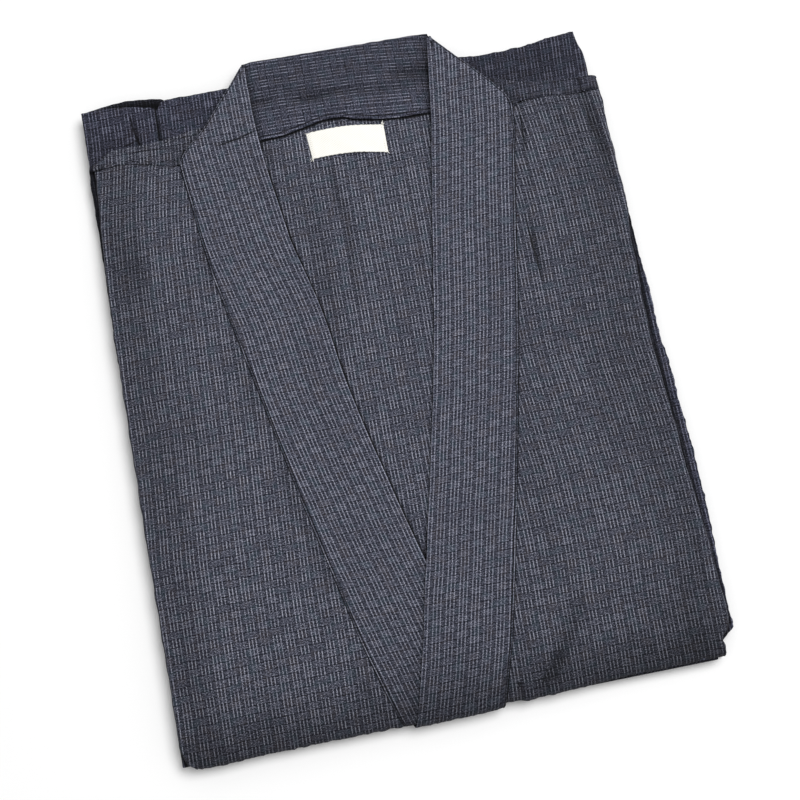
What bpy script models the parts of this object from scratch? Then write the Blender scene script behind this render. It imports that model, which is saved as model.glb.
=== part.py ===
"""A man's cotton yukata, folded flat with its collar uppermost.

The robe is folded lengthwise into a strip as wide as the body, and the strip is folded in
thirds: the upper third lies face up, turns under at its lower end to the middle third, and
the hem third lies at the bottom. A piece of the upper third is drawn flat along the strip and
carried round that turn by strip_point. Left and right are the wearer's.

Lengths are millimetres until add_object scales them. +X is across the strip, towards the
wearer's left, +Y runs up to the neck and +Z is up. Along the strip, "run" is the distance
from the middle of the bundle and "level" the height over the fold between the thirds.
"""
import math

import bmesh
import bpy

MM = 0.001
COLLECTION = "yukata_folded"

# Driving sizes of the folded bundle.
STRAIGHT_SIDE = -170.5    # the side fold on the wearer's right
FOLD_LEVEL = 10.0         # height of the fold between the middle and the upper third
TURN_RUN = -193.5         # where the upper third starts to turn under
TURN_RADIUS = 5.3         # outer radius of that turn, half of two thirds' height
COLLAR_TURN = math.radians(150)   # how far round the collars go, to clear the hem third
CENTRE_X = 2.7            # middle of the bundle, which goes to the origin
CENTRE_Y = 21.2

# Cloth. Every wall is the crimped cotton with the air it holds.
BODY_WALL = 1.2
BACK_WALL = 1.0
STRIP_WALL = 1.1
COLLAR_WALL = 1.6
LABEL_WALL = 1.0
SEAM_GAP = 0.3
FRONT_SEAM_GAP = 0.5      # across a front's seam with its collar, whose edge bows
SHOULDER_SEAM_GAP = 0.9   # along the shoulder seam, which bends more

# Levels over the fold, bottom of each wall.
BACK_LEVEL = 2.8
FRONT_LEVEL = BACK_LEVEL + BACK_WALL + SEAM_GAP
FRONT_TOP = FRONT_LEVEL + BODY_WALL
LAP_RISE = COLLAR_WALL + SEAM_GAP          # one collar stretch lying on the other
LAP_RAMP = (4.5, 13.0)                     # past the under collar's edge, where that rise ends
SHOULDER_RISE = (150.0, 178.0)             # runs over which a collar climbs onto the shoulder
NECK_FALL = (198.0, 243.0)                 # runs over which the neck end droops
NECK_DROP = 2.2
SIDE_RADIUS = 2.45                         # rounding of the side folds
SIDE_RETURN = 1.6                          # cloth seen under the side fold

# Collar stretches: run, inner edge, outer edge.
COLLAR_RIGHT_EDGES = (
    (243.0, -56.4, -57.6),
    (228.0, -56.9, -69.6),
    (205.0, -56.6, -89.0),
    (181.5, -55.4, -109.1),
    (150.0, -52.0, -106.5),
    (118.0, -47.6, -103.4),
    (66.0, -36.4, -94.3),
    (20.0, -30.2, -85.4),
    (-52.0, -15.2, -71.5),
    (-100.0, -3.7, -61.2),
    (-155.0, 10.8, -48.8),
    (-212.0, 26.0, -31.5),
)
COLLAR_LEFT_EDGES = (
    (242.0, 67.0, 68.2),
    (222.5, 64.2, 83.0),
    (210.0, 62.3, 93.6),
    (180.5, 57.8, 112.2),
    (140.0, 50.2, 105.4),
    (108.0, 44.0, 99.2),
    (33.0, 29.8, 84.9),
    (-35.0, 14.1, 69.8),
    (-119.0, -6.7, 50.0),
    (-160.0, -16.8, 39.4),
    (-212.0, -31.8, 23.6),
)
# Side folds of the upper third: run, x.
RIGHT_FRONT_SIDE = (
    (200.0, STRAIGHT_SIDE),
    (-180.0, STRAIGHT_SIDE),
    (-212.0, STRAIGHT_SIDE + 2.0),
)
LEFT_FRONT_SIDE = (
    (192.0, 171.4),
    (107.0, 172.0),
    (80.0, 169.0),
    (7.0, 166.4),
    (-42.0, 169.0),
    (-110.0, 171.8),
    (-160.0, 172.0),
    (-180.0, 170.2),
    (-192.0, 166.6),
    (-212.0, 165.4),
)
SHOULDER_RUN = 183.0      # about where the fronts end
SEAM_TOP_RUN = 181.0      # where the collar seams reach the shoulder
# Shoulder seams and the upper edges of the strips above them: x, seam run, upper run.
SHOULDER_RIGHT_EDGES = (
    (-167.6, 189.4, 192.4),
    (-150.0, 190.0, 201.4),
    (-131.0, 187.0, 201.2),
    (-112.0, 182.3, 203.0),
    (-92.0, 181.6, 206.0),
)
SHOULDER_LEFT_EDGES = (
    (98.0, 179.0, 205.0),
    (113.0, 179.6, 200.0),
    (119.0, 183.0, 198.0),
    (131.0, 183.2, 195.6),
    (149.0, 181.2, 193.4),
    (171.0, 181.4, 191.4),
)
# Right sleeve above its shoulder: x, upper run of the near leaf, upper run of the far leaf.
SLEEVE_RIGHT_EDGES = (
    (-167.6, 229.6, 231.0),
    (-155.0, 230.2, 233.0),
    (-141.0, 230.0, 234.2),
    (-135.6, 226.6, 234.4),
    (-129.0, 227.4, 234.3),
    (-119.4, 228.4, 233.2),
    (-111.0, 230.0, 231.6),
    (-90.0, 230.4, 230.2),
    (-62.0, 230.4, 230.2),
)
# Left sleeve above its shoulder: x, run of its upper fold.
SLEEVE_LEFT_EDGE = (
    (73.0, 224.6),
    (104.0, 221.4),
    (128.0, 222.4),
    (150.0, 225.4),
    (163.6, 226.4),
)
SLEEVE_LEFT_LOW_X = 167.2  # its outer side where it leaves the shoulder
SLEEVE_LOW_RUN = 190.6
SLEEVE_TOP = 3.4          # level of the near leaf where it leaves the shoulder
SLEEVE_DROOP = 1.2        # how far it has fallen at its upper edge
SLEEVE_UPPER_RUN = 234.0
FAR_LEAF_DROOP = 0.9      # share of the droop that the far leaf follows
SLEEVE_DEPTH = 3.2        # over both leaves
SLEEVE_WALL = 1.1
PLEAT_FOLDS = (-135.6, -119.4)
PLEAT_SLOPE = (2.5, 1.0)  # how far each fold's slope reaches outside and inside it
PLEAT_REACH = (0.25, 0.9)  # up the leaf, where the pleat starts and is full
PLEAT_DEPTH = 0.7
STRIP_FALL_START = 0.25   # up a shoulder strip, where it starts to fall

# Neck stretch of the collar: x, lower run.
NECK_LOWER_EDGE = (
    (-60.5, 189.2),
    (-33.0, 189.2),
    (-11.0, 194.6),
    (9.5, 191.2),
    (43.0, 185.8),
    (71.0, 185.6),
)
NECK_UPPER_RUN = (243.4, 241.2)            # at its two ends

# Soft folds raised in the fronts: x and run at each end, half width, height.
FRONT_LEFT_FOLDS = (
    (104.6, 100.0, 109.4, 50.0, 6.0, 0.8),
    (163.0, -40.0, 166.0, -168.0, 5.0, 0.5),
    (108.0, -120.0, 122.0, -190.0, 13.0, 0.5),
    (126.0, 168.0, 158.0, 60.0, 15.0, 0.4),
)
FRONT_RIGHT_FOLDS = (
    (-140.0, 172.0, -128.0, 70.0, 14.0, 0.4),
    (-118.0, 20.0, -104.0, -130.0, 16.0, 0.5),
    (-152.0, -60.0, -146.0, -185.0, 10.0, 0.4),
)

# The back: its sides, and how it narrows to pass between the sleeves under the neck band.
BACK_SIDES = (-164.0, 161.0)
BACK_NECK_SIDES = (-59.6, 70.0)
BACK_NARROWING = (166.0, 184.0)
BACK_RUNS = (-189.0, 196.8)

# Neck label, a woven ribbon sewn down at both ends.
LABEL_WIDTH = 49.6
LABEL_HEIGHT = 19.0
LABEL_MIDDLE = (1.3, 175.8)
LABEL_TURN = math.radians(-4.8)
LABEL_BOW = 0.3           # how far its middle stands off the back

# Hidden layers, ring by ring: height, inset at the sides, lower run, upper run, side table.
HIDDEN_RINGS = (
    (0.0, 2.6, -193.0, 218.0, "hem"),
    (0.5, 1.0, -195.2, 220.0, "hem"),
    (1.7, 0.6, -196.2, 220.8, "hem"),
    (2.2, 2.4, -194.6, 219.2, "hem"),
    (2.7, 0.7, -195.6, 221.0, "hem"),
    (3.9, 0.8, -194.8, 221.2, "hem"),
    (4.4, 3.0, -191.6, 218.4, "hem"),
    (5.0, 2.6, -191.8, 219.0, "middle"),
    (5.6, 0.8, -192.2, 221.6, "middle"),
    (6.3, 0.3, -192.4, 223.2, "middle"),
    (6.6, 0.5, -194.9, 223.6, "middle"),
    (7.2, 2.2, -196.0, 223.8, "middle"),
    (7.7, 0.4, -196.5, 223.8, "middle"),
    (9.0, 0.2, -197.1, 222.2, "middle"),
    (9.5, 1.0, -197.2, 206.0, "middle"),
    (9.8, 2.4, -197.2, 192.0, "middle"),
    (10.1, 5.6, -197.2, 182.8, "upper"),
    (11.7, 5.6, -196.9, 182.6, "upper"),
    (12.5, 6.8, -196.0, 181.0, "upper"),
)
# Side folds of each third: run, x on the wearer's right, x on the wearer's left.
THIRD_SIDES = {
    "hem": (
        (221.0, -168.6, 169.0),
        (60.0, -170.0, 171.2),
        (-80.0, -169.4, 172.4),
        (-196.0, -168.0, 168.0),
    ),
    "middle": (
        (223.0, -168.0, 168.6),
        (106.0, -170.4, 169.6),
        (80.0, -170.6, 170.4),
        (40.0, -170.4, 175.0),
        (8.0, -170.2, 174.4),
        (-8.0, -170.2, 176.8),
        (-60.0, -170.4, 178.8),
        (-110.0, -170.6, 178.8),
        (-160.0, -170.8, 176.2),
        (-180.0, -173.4, 175.6),
        (-184.0, -172.8, 170.8),
        (-189.0, -164.2, 161.4),
        (-197.0, -164.2, 161.4),
    ),
    "upper": tuple((run, STRAIGHT_SIDE, x) for run, x in LEFT_FRONT_SIDE),
}
HIDDEN_SIDE_RUNS = (-140, -100, -60, -30, -8, 8, 24, 40, 60, 80, 110, 160)
HIDDEN_CORNER_STEPS = (0.0, 3.0, 6.0, 10.0, 24.0)   # up each side from the lower corner
HIDDEN_END_POINTS = 6
HIDDEN_CORNER = 7.0       # radius of the folded corners
HIDDEN_CORNER_POINTS = 3


def mix(start, end, share):
    """The value that lies a share of the way from start to end."""
    return start + (end - start) * share


def soft_step(start, end, value):
    """0 before start, 1 after end, and the cubic 3t^2 - 2t^3 between them."""
    share = min(1.0, max(0.0, (value - start) / (end - start)))
    return share * share * (3.0 - 2.0 * share)


def stations(start, end, count):
    """Evenly spaced values, both ends included."""
    return [mix(start, end, index / count) for index in range(count + 1)]


def read_table(table, key, column):
    """A smooth curve through one column: cubics whose slopes never overshoot the rows."""
    rows = sorted(table)
    if key <= rows[0][0]:
        return rows[0][column]
    if key >= rows[-1][0]:
        return rows[-1][column]
    steps = [(b[column] - a[column]) / (b[0] - a[0]) for a, b in zip(rows, rows[1:])]
    here = max(index for index, row in enumerate(rows) if row[0] <= key)
    here = min(here, len(rows) - 2)

    def slope(index):
        if index == 0:
            return steps[0]
        if index == len(rows) - 1:
            return steps[-1]
        before, after = steps[index - 1], steps[index]
        if before * after <= 0.0:
            return 0.0
        return 2.0 * before * after / (before + after)

    low, high = rows[here], rows[here + 1]
    span = high[0] - low[0]
    t = (key - low[0]) / span
    return (
        (2 * t**3 - 3 * t**2 + 1) * low[column]
        + (t**3 - 2 * t**2 + t) * span * slope(here)
        + (3 * t**2 - 2 * t**3) * high[column]
        + (t**3 - t**2) * span * slope(here + 1)
    )


def strip_point(x, run, level):
    """A point of the upper third: flat above TURN_RUN, then round the turn's half circle."""
    if run >= TURN_RUN:
        return (x, run, FOLD_LEVEL + level)
    angle = (TURN_RUN - run) / TURN_RADIUS
    return (x, TURN_RUN - level * math.sin(angle), FOLD_LEVEL + level * math.cos(angle))


def strip_runs(top, flat_count, turn_count):
    """Runs from a collar's top to the turn, and on round it as far as the collars go."""
    turn_end = TURN_RUN - COLLAR_TURN * TURN_RADIUS
    return stations(top, TURN_RUN, flat_count) + stations(TURN_RUN, turn_end, turn_count)[1:]


def ridge_height(folds, x, run):
    """Height of the soft folds at a point: a cosine bell across each, faded at its ends."""
    height = 0.0
    for x_0, run_0, x_1, run_1, half_width, rise in folds:
        length = math.hypot(x_1 - x_0, run_1 - run_0)
        along = ((x - x_0) * (x_1 - x_0) + (run - run_0) * (run_1 - run_0)) / length
        across = abs((x - x_0) * (run_1 - run_0) - (run - run_0) * (x_1 - x_0)) / length
        if across < half_width and 0.0 < along < length:
            bell = 0.5 + 0.5 * math.cos(math.pi * across / half_width)
            height += rise * bell * math.sin(math.pi * along / length)
    return height


def collar_level(run):
    """Bottom of a collar stretch: it climbs onto the shoulder and droops to the neck."""
    rise = LAP_RISE * soft_step(*SHOULDER_RISE, run)
    return FRONT_LEVEL + rise - NECK_DROP * soft_step(*NECK_FALL, run)


def sleeve_level(run):
    """Top of a sleeve's near leaf, which droops to its upper edge."""
    return SLEEVE_TOP - SLEEVE_DROOP * soft_step(SLEEVE_LOW_RUN, SLEEVE_UPPER_RUN, run)


def cloth_material(name, colour, roughness):
    """A matt cloth finish."""
    material = bpy.data.materials.new(name)
    material.use_nodes = True
    shader = material.node_tree.nodes["Principled BSDF"]
    shader.inputs["Base Color"].default_value = (*colour, 1.0)
    shader.inputs["Roughness"].default_value = roughness
    shader.inputs["Metallic"].default_value = 0.0
    return material


def add_object(name, work_mesh, material):
    """Scale a bmesh to metres round the bundle's middle and make it an object."""
    for vertex in work_mesh.verts:
        vertex.co.x = (vertex.co.x - CENTRE_X) * MM
        vertex.co.y = (vertex.co.y - CENTRE_Y) * MM
        vertex.co.z = vertex.co.z * MM
    mesh = bpy.data.meshes.new(name)
    work_mesh.to_mesh(mesh)
    work_mesh.free()
    mesh.materials.append(material)
    piece = bpy.data.objects.new(name, mesh)
    bpy.data.collections[COLLECTION].objects.link(piece)
    mesh.shade_smooth()
    mesh.set_sharp_from_angle(angle=math.radians(50))
    return piece


def cloth_panel(name, across, along, place, wall, material):
    """A wall of cloth: an even grid whose points place() moves, thickened inwards.

    place(a, b) gives the outer face; its outward side is on the left of growing a when b grows.
    """
    grid = bmesh.new()
    bmesh.ops.create_grid(grid, x_segments=len(across) - 1, y_segments=len(along) - 1, size=0.5)
    for vertex in grid.verts:
        column = round((vertex.co.x + 0.5) * (len(across) - 1))
        row = round((vertex.co.y + 0.5) * (len(along) - 1))
        vertex.co = place(across[column], along[row])
    piece = add_object(name, grid, material)
    solidify = piece.modifiers.new("Wall", "SOLIDIFY")
    solidify.thickness = wall * MM
    solidify.offset = -1.0
    solidify.use_even_offset = True
    return piece


def front_panel(name, side, seam_table, side_table, top_table, folds, material):
    """One front: flat from the collar seam, round the side fold and round the turn.

    Across it runs from 0 at the seam to 1 where the side fold starts, 2 where it ends and 3 at
    the end of the cloth beneath; along it runs from 0 at the shoulder to 1 at the turn and 2
    at the turn's end. side is -1 for the wearer's right and 1 for the left.
    """
    seam_column = 2

    def side_at(run):
        return read_table(side_table, run, 1)

    def place(across, along):
        flat_share = min(across, 1.0)
        top_seam_x = read_table(seam_table, SHOULDER_RUN, seam_column)
        near_x = mix(top_seam_x, side_at(SHOULDER_RUN), flat_share)
        top_run = read_table(top_table, near_x, 1) - SHOULDER_SEAM_GAP
        if along <= 1.0:
            run = mix(top_run, TURN_RUN, along)
        else:
            run = TURN_RUN - (along - 1.0) * math.pi * TURN_RADIUS
        seam_x = read_table(seam_table, run, seam_column) + side * FRONT_SEAM_GAP
        centre = side_at(run) - side * SIDE_RADIUS
        x = mix(seam_x, centre, flat_share)
        level = FRONT_TOP + ridge_height(folds, x, run)
        if across > 1.0:
            angle = min(across - 1.0, 1.0) * math.pi
            x = centre + side * SIDE_RADIUS * math.sin(angle)
            level = FRONT_TOP - SIDE_RADIUS * (1.0 - math.cos(angle))
        if across > 2.0:
            x = centre - side * SIDE_RETURN * (across - 2.0)
        return strip_point(x, run, level)

    across = stations(0.0, 1.0, 9) + stations(1.0, 2.0, 6)[1:] + [3.0]
    along = stations(0.0, 1.0, 16) + stations(1.0, 2.0, 8)[1:]
    if side < 0:
        across = across[::-1]
    return cloth_panel(name, across, along[::-1], place, BODY_WALL, material)


def collar_stretch(name, edges, level_at, columns, rows, material):
    """A collar band between its two edges, from the neck corner round the turn."""

    def place(across, run):
        left = min(read_table(edges, run, 1), read_table(edges, run, 2))
        right = max(read_table(edges, run, 1), read_table(edges, run, 2))
        x = mix(left, right, across)
        return strip_point(x, run, level_at(x, run) + COLLAR_WALL)

    top = max(row[0] for row in edges)
    runs = stations(top, SEAM_TOP_RUN, 4)[:-1] + strip_runs(SEAM_TOP_RUN, rows, 8)
    return cloth_panel(name, stations(0.0, 1.0, columns), runs[::-1], place, COLLAR_WALL, material)


def make_collars(material):
    """The under collar on the right front, and the over collar lapped on it."""
    collar_stretch(
        "collar_right",
        COLLAR_RIGHT_EDGES,
        lambda x, run: collar_level(run),
        6,
        30,
        material,
    )

    def lapped_level(x, run):
        past_edge = x - read_table(COLLAR_RIGHT_EDGES, run, 1)
        lap = 1.0 - soft_step(*LAP_RAMP, past_edge)
        return collar_level(run) + LAP_RISE * lap

    collar_stretch("collar_left", COLLAR_LEFT_EDGES, lapped_level, 12, 30, material)


def make_neck(material):
    """The neck stretch: the band's inner side, its lower edge sewn to the back."""

    def place(x, up):
        low = read_table(NECK_LOWER_EDGE, x, 1)
        share = (x - NECK_LOWER_EDGE[0][0]) / (NECK_LOWER_EDGE[-1][0] - NECK_LOWER_EDGE[0][0])
        run = mix(low, mix(*NECK_UPPER_RUN, share), up)
        level = FRONT_LEVEL - NECK_DROP * soft_step(*NECK_FALL, run)
        return strip_point(x, run, level + COLLAR_WALL)

    across = stations(NECK_LOWER_EDGE[0][0], NECK_LOWER_EDGE[-1][0], 12)
    cloth_panel("collar_neck", across, stations(0.0, 1.0, 7), place, COLLAR_WALL, material)


def make_back(material):
    """The back's inner side, lying on the hidden layers under both fronts."""

    def place(across, run):
        narrowing = soft_step(*BACK_NARROWING, run)
        left, right = (
            mix(wide, narrow, narrowing) for wide, narrow in zip(BACK_SIDES, BACK_NECK_SIDES)
        )
        return strip_point(mix(left, right, across), run, BACK_LEVEL + BACK_WALL)

    runs = stations(BACK_RUNS[0], BACK_NARROWING[0], 8)
    runs += stations(*BACK_NARROWING, 4)[1:] + [BACK_RUNS[1]]
    cloth_panel("back_panel", stations(0.0, 1.0, 8), runs, place, BACK_WALL, material)


def shoulder_strip(name, edges, material):
    """The strip above a shoulder seam: level with the front, falling to the sleeve."""

    def place(x, up):
        run = mix(read_table(edges, x, 1), read_table(edges, x, 2), up)
        upper_top = sleeve_level(run) + SEAM_GAP + STRIP_WALL
        level = mix(FRONT_TOP, upper_top, soft_step(STRIP_FALL_START, 1.0, up))
        return strip_point(x, run, level)

    across = stations(edges[0][0], edges[-1][0], 10)
    cloth_panel(name, across, stations(0.0, 1.0, 4), place, STRIP_WALL, material)


def make_sleeve_right(material):
    """A flattened tube with its mouth up: near leaf, fold at the bottom, far leaf."""
    radius = SLEEVE_DEPTH / 2.0

    def pleat(x, up):
        outside, within = PLEAT_SLOPE
        depth = PLEAT_DEPTH * soft_step(PLEAT_FOLDS[0] - outside, PLEAT_FOLDS[0] + within, x)
        depth *= 1.0 - soft_step(PLEAT_FOLDS[1] - within, PLEAT_FOLDS[1] + outside, x)
        return depth * soft_step(*PLEAT_REACH, up)

    def place(x, path):
        near_top = read_table(SLEEVE_RIGHT_EDGES, x, 1)
        far_top = read_table(SLEEVE_RIGHT_EDGES, x, 2)
        low = SLEEVE_LOW_RUN + radius
        if path <= 1.0:
            run = mix(near_top, low, path)
            return strip_point(x, run, sleeve_level(run) - pleat(x, 1.0 - path))
        if path < 2.0:
            angle = (path - 1.0) * math.pi
            level = SLEEVE_TOP - radius + radius * math.cos(angle)
            return strip_point(x, low - radius * math.sin(angle), level)
        run = mix(low, far_top, path - 2.0)
        droop = SLEEVE_TOP - sleeve_level(run)
        return strip_point(x, run, SLEEVE_TOP - SLEEVE_DEPTH - FAR_LEAF_DROOP * droop)

    path = stations(0.0, 1.0, 7) + stations(1.0, 2.0, 4)[1:] + stations(2.0, 3.0, 5)[1:]
    low, high = (row[0] for row in (SLEEVE_RIGHT_EDGES[0], SLEEVE_RIGHT_EDGES[-1]))
    pleat_low, pleat_high = PLEAT_FOLDS[0] - PLEAT_SLOPE[0], PLEAT_FOLDS[1] + PLEAT_SLOPE[0]
    across = stations(low, pleat_low, 3) + stations(pleat_low, pleat_high, 6)[1:]
    across += stations(pleat_high, high, 3)[1:]
    cloth_panel("sleeve_right", across, path[::-1], place, SLEEVE_WALL, material)


def make_sleeve_left(material):
    """A flattened tube with its fold up: the near leaf, the fold, the far leaf."""
    radius = SLEEVE_DEPTH / 2.0

    def place(across, path):
        top_x = mix(SLEEVE_LEFT_EDGE[0][0], SLEEVE_LEFT_EDGE[-1][0], across)
        low_x = mix(SLEEVE_LEFT_EDGE[0][0], SLEEVE_LEFT_LOW_X, across)
        fold_run = read_table(SLEEVE_LEFT_EDGE, top_x, 1) - radius
        if path <= 1.0:
            run = mix(SLEEVE_LOW_RUN, fold_run, path)
            return strip_point(mix(low_x, top_x, path**2), run, sleeve_level(run))
        fold_level = sleeve_level(fold_run) - radius
        if path < 2.0:
            angle = (path - 1.0) * math.pi
            run = fold_run + radius * math.sin(angle)
            return strip_point(top_x, run, fold_level + radius * math.cos(angle))
        run = mix(fold_run, SLEEVE_LOW_RUN, path - 2.0)
        share = 3.0 - path
        return strip_point(mix(low_x, top_x, share**2), run, sleeve_level(run) - SLEEVE_DEPTH)

    path = stations(0.0, 1.0, 5) + stations(1.0, 2.0, 5)[1:] + stations(2.0, 3.0, 4)[1:]
    cloth_panel("sleeve_left", stations(0.0, 1.0, 8), path, place, SLEEVE_WALL, material)


def make_label(material):
    """The woven neck label, turned a little on the back just under the neck seam."""

    def place(across, up):
        along_x = (across - 0.5) * LABEL_WIDTH
        along_y = (up - 0.5) * LABEL_HEIGHT
        x = LABEL_MIDDLE[0] + along_x * math.cos(LABEL_TURN) - along_y * math.sin(LABEL_TURN)
        run = LABEL_MIDDLE[1] + along_x * math.sin(LABEL_TURN) + along_y * math.cos(LABEL_TURN)
        top = BACK_LEVEL + BACK_WALL + SEAM_GAP + LABEL_WALL
        return strip_point(x, run, top + LABEL_BOW * math.sin(math.pi * across))

    cloth_panel("neck_label", stations(0, 1, 6), stations(0, 1, 2), place, LABEL_WALL, material)


def third_outline(third, inset, low, high):
    """One ring of the hidden layers: both side folds, both ends, rounded corners."""
    table = THIRD_SIDES[third]
    radius = HIDDEN_CORNER

    def side_x(run, column):
        edge = read_table(table, run, column)
        return edge + inset if column == 1 else edge - inset

    def corner(x, y, start):
        angles = stations(start, start + math.pi / 2.0, HIDDEN_CORNER_POINTS)[1:-1]
        return [(x + radius * math.cos(a), y + radius * math.sin(a)) for a in angles]

    low_y, high_y = low + radius, high - radius
    side_runs = [low_y + step for step in HIDDEN_CORNER_STEPS] + [*HIDDEN_SIDE_RUNS, high_y]
    right = [(side_x(y, 2), y) for y in side_runs]
    left = [(side_x(y, 1), y) for y in reversed(side_runs)]
    top_right = corner(right[-1][0] - radius, high_y, 0.0)
    top_left = corner(left[0][0] + radius, high_y, math.pi / 2.0)
    low_left = corner(left[-1][0] + radius, low_y, math.pi)
    low_right = corner(right[0][0] - radius, low_y, 1.5 * math.pi)
    top_xs = stations(right[-1][0] - radius, left[0][0] + radius, HIDDEN_END_POINTS)
    low_xs = stations(left[-1][0] + radius, right[0][0] - radius, HIDDEN_END_POINTS)
    top = [(x, high) for x in top_xs]
    low_end = [(x, low) for x in low_xs]
    return right + top_right + top + top_left + left + low_left + low_end + low_right


def make_hidden_layers(material):
    """The folded thirds under the cloth that shows: one loft through all the rings."""
    solid = bmesh.new()
    rings = []
    for height, inset, low, high, third in HIDDEN_RINGS:
        outline = third_outline(third, inset, low, high)
        rings.append([solid.verts.new((x, y, height)) for x, y in outline])
    count = len(rings[0])
    for lower, upper in zip(rings, rings[1:]):
        for index in range(count):
            after = (index + 1) % count
            solid.faces.new((lower[index], lower[after], upper[after], upper[index]))
    solid.faces.new(rings[0][::-1])
    solid.faces.new(rings[-1])
    add_object("hidden_layers", solid, material)


def main():
    """Clear the scene and make every piece."""
    for old in list(bpy.data.objects):
        bpy.data.objects.remove(old, do_unlink=True)
    collection = bpy.data.collections.new(COLLECTION)
    bpy.context.scene.collection.children.link(collection)
    crimped = cloth_material("crimped_navy_cotton", (0.068, 0.074, 0.100), 0.85)
    collar_cloth = cloth_material("collar_navy_cotton", (0.078, 0.084, 0.110), 0.85)
    shaded = cloth_material("inner_navy_cotton", (0.055, 0.060, 0.085), 0.88)
    ivory = cloth_material("woven_ivory_ribbon", (0.84, 0.81, 0.72), 0.6)

    make_hidden_layers(shaded)
    make_back(crimped)
    front_panel(
        "front_right",
        -1,
        COLLAR_RIGHT_EDGES,
        RIGHT_FRONT_SIDE,
        SHOULDER_RIGHT_EDGES,
        FRONT_RIGHT_FOLDS,
        crimped,
    )
    front_panel(
        "front_left",
        1,
        COLLAR_LEFT_EDGES,
        LEFT_FRONT_SIDE,
        SHOULDER_LEFT_EDGES,
        FRONT_LEFT_FOLDS,
        crimped,
    )
    make_collars(collar_cloth)
    make_neck(collar_cloth)
    shoulder_strip("shoulder_right", SHOULDER_RIGHT_EDGES, crimped)
    shoulder_strip("shoulder_left", SHOULDER_LEFT_EDGES, crimped)
    make_sleeve_right(crimped)
    make_sleeve_left(crimped)
    make_label(ivory)


main()
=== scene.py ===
"""A man's cotton yukata, folded flat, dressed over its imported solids.

Every cloth piece is a surface worked out with numpy from two parameters: where a point lies
across the cloth and where it lies along it. Left and right are the wearer's. Lengths are
millimetres until cloth_mesh turns them into metres. +X is across the folded strip, towards the
wearer's left, +Y runs up to the neck and +Z is up. Along the upper third of the strip, "run"
is the distance from the middle of the bundle and "level" the height over the fold that
separates it from the third below.
"""
import functools
import math

import bpy
import numpy as np
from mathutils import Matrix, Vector


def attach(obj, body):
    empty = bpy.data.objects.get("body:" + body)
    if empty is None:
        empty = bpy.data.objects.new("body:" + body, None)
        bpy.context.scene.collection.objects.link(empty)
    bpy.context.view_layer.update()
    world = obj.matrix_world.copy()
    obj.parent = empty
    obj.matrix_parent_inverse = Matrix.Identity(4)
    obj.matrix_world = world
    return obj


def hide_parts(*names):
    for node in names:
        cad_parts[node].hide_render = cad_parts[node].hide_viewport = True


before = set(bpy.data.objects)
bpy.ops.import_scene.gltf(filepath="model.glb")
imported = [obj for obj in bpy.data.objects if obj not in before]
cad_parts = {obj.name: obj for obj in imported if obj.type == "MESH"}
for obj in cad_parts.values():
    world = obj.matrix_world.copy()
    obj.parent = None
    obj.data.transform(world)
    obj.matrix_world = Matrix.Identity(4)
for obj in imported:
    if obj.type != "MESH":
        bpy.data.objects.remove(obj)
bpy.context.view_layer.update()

MM = 0.001
CENTRE_X = 2.7  # middle of the bundle, which lies at the frame's origin
CENTRE_Y = 21.2
FOLD_LEVEL = 10  # height of the fold between the middle and the upper third
TURN_RUN = -193.5  # where the upper third starts to turn under
TURN_RADIUS = 5.3

# Camera: a 67.5 mm lens on a 36 mm wide square picture, a long arm's length over the bundle.
LENS = 67.5
VIEW_AZIMUTH = math.radians(-11.22)
VIEW_ELEVATION = math.radians(78.05)
VIEW_DISTANCE = 949.85
VIEW_TARGET = (1.1, 0, 15.3)

# Levels over the fold, top of each cloth piece.
BACK_TOP = 3.8
FRONT_TOP = 5.3
COLLAR_TOP = 5.7
LAP_RISE = 1.9  # the over collar lying on the under collar
LAP_RAMP = (4.5, 13)  # past the under collar's edge, where that rise ends
LAP_PRESS = 0.25  # how far the over collar presses the under collar down, near its edge
LAP_REACH = 9
SHOULDER_RISE = (150, 178)
SHOULDER_LIFT = 1.9  # how far a collar climbs onto the shoulder
NECK_FALL = (198, 243)
TIP_FALL = (220, 243)  # where a collar's end comes down on the neck stretch
NECK_DROP = 2.2
NECK_SINK = 1.3  # how far the neck stretch dips under both collar stretches
SIDE_RADIUS = 1.75  # rounding of the fronts' side folds
RIM_SINK = 1.6  # how far the fronts settle towards their side folds
RIM_REACH = 26
TURN_SINK = 1.6  # and towards the turn
TURN_REACH = 34
SIDE_RETURN = 1.6  # cloth that turns back under a side fold
HOLLOW_DIM = 0.28  # share of light lost for each millimetre of a crease's depth
HOLLOW_DEEPEST = 1.6  # below which a crease gets no darker
CLOTH_WALL = 0.9  # crimped cotton with the air it holds
FAR = 99.0  # a distance past every edge
MERGE_WITHIN = 0.00001  # metres
RIPPLE_PEAK = 1.4  # of the summed waves, over the root of their number
RIPPLE_WAVES = 9  # plane waves in each ripple
COLLAR_WALL = 1.3  # two layers and the seam allowance between them

# Collar stretches: run, inner edge, outer edge.
COLLAR_RIGHT_EDGES = (
    (244.8, -56.2, -58.6), (228, -56.9, -71), (205, -56.6, -89.4), (181.5, -55.4, -109.1),
    (150, -52, -106.5), (118, -47.6, -103.4), (66, -36.4, -94.3), (20, -30.2, -85.4), (-52, -15.2, -71.5),
    (-100, -3.7, -61.2), (-155, 10.8, -48.8), (-212, 26, -31.5),
)
COLLAR_LEFT_EDGES = (
    (242, 67, 68.2), (222.5, 64.2, 83), (210, 62.3, 93.6), (180.5, 57.8, 112.2), (140, 50.2, 105.4),
    (108, 44, 99.2), (33, 29.8, 84.9), (-35, 14.1, 69.8), (-119, -6.7, 50), (-160, -16.8, 39.4),
    (-212, -31.8, 23.6),
)
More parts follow.
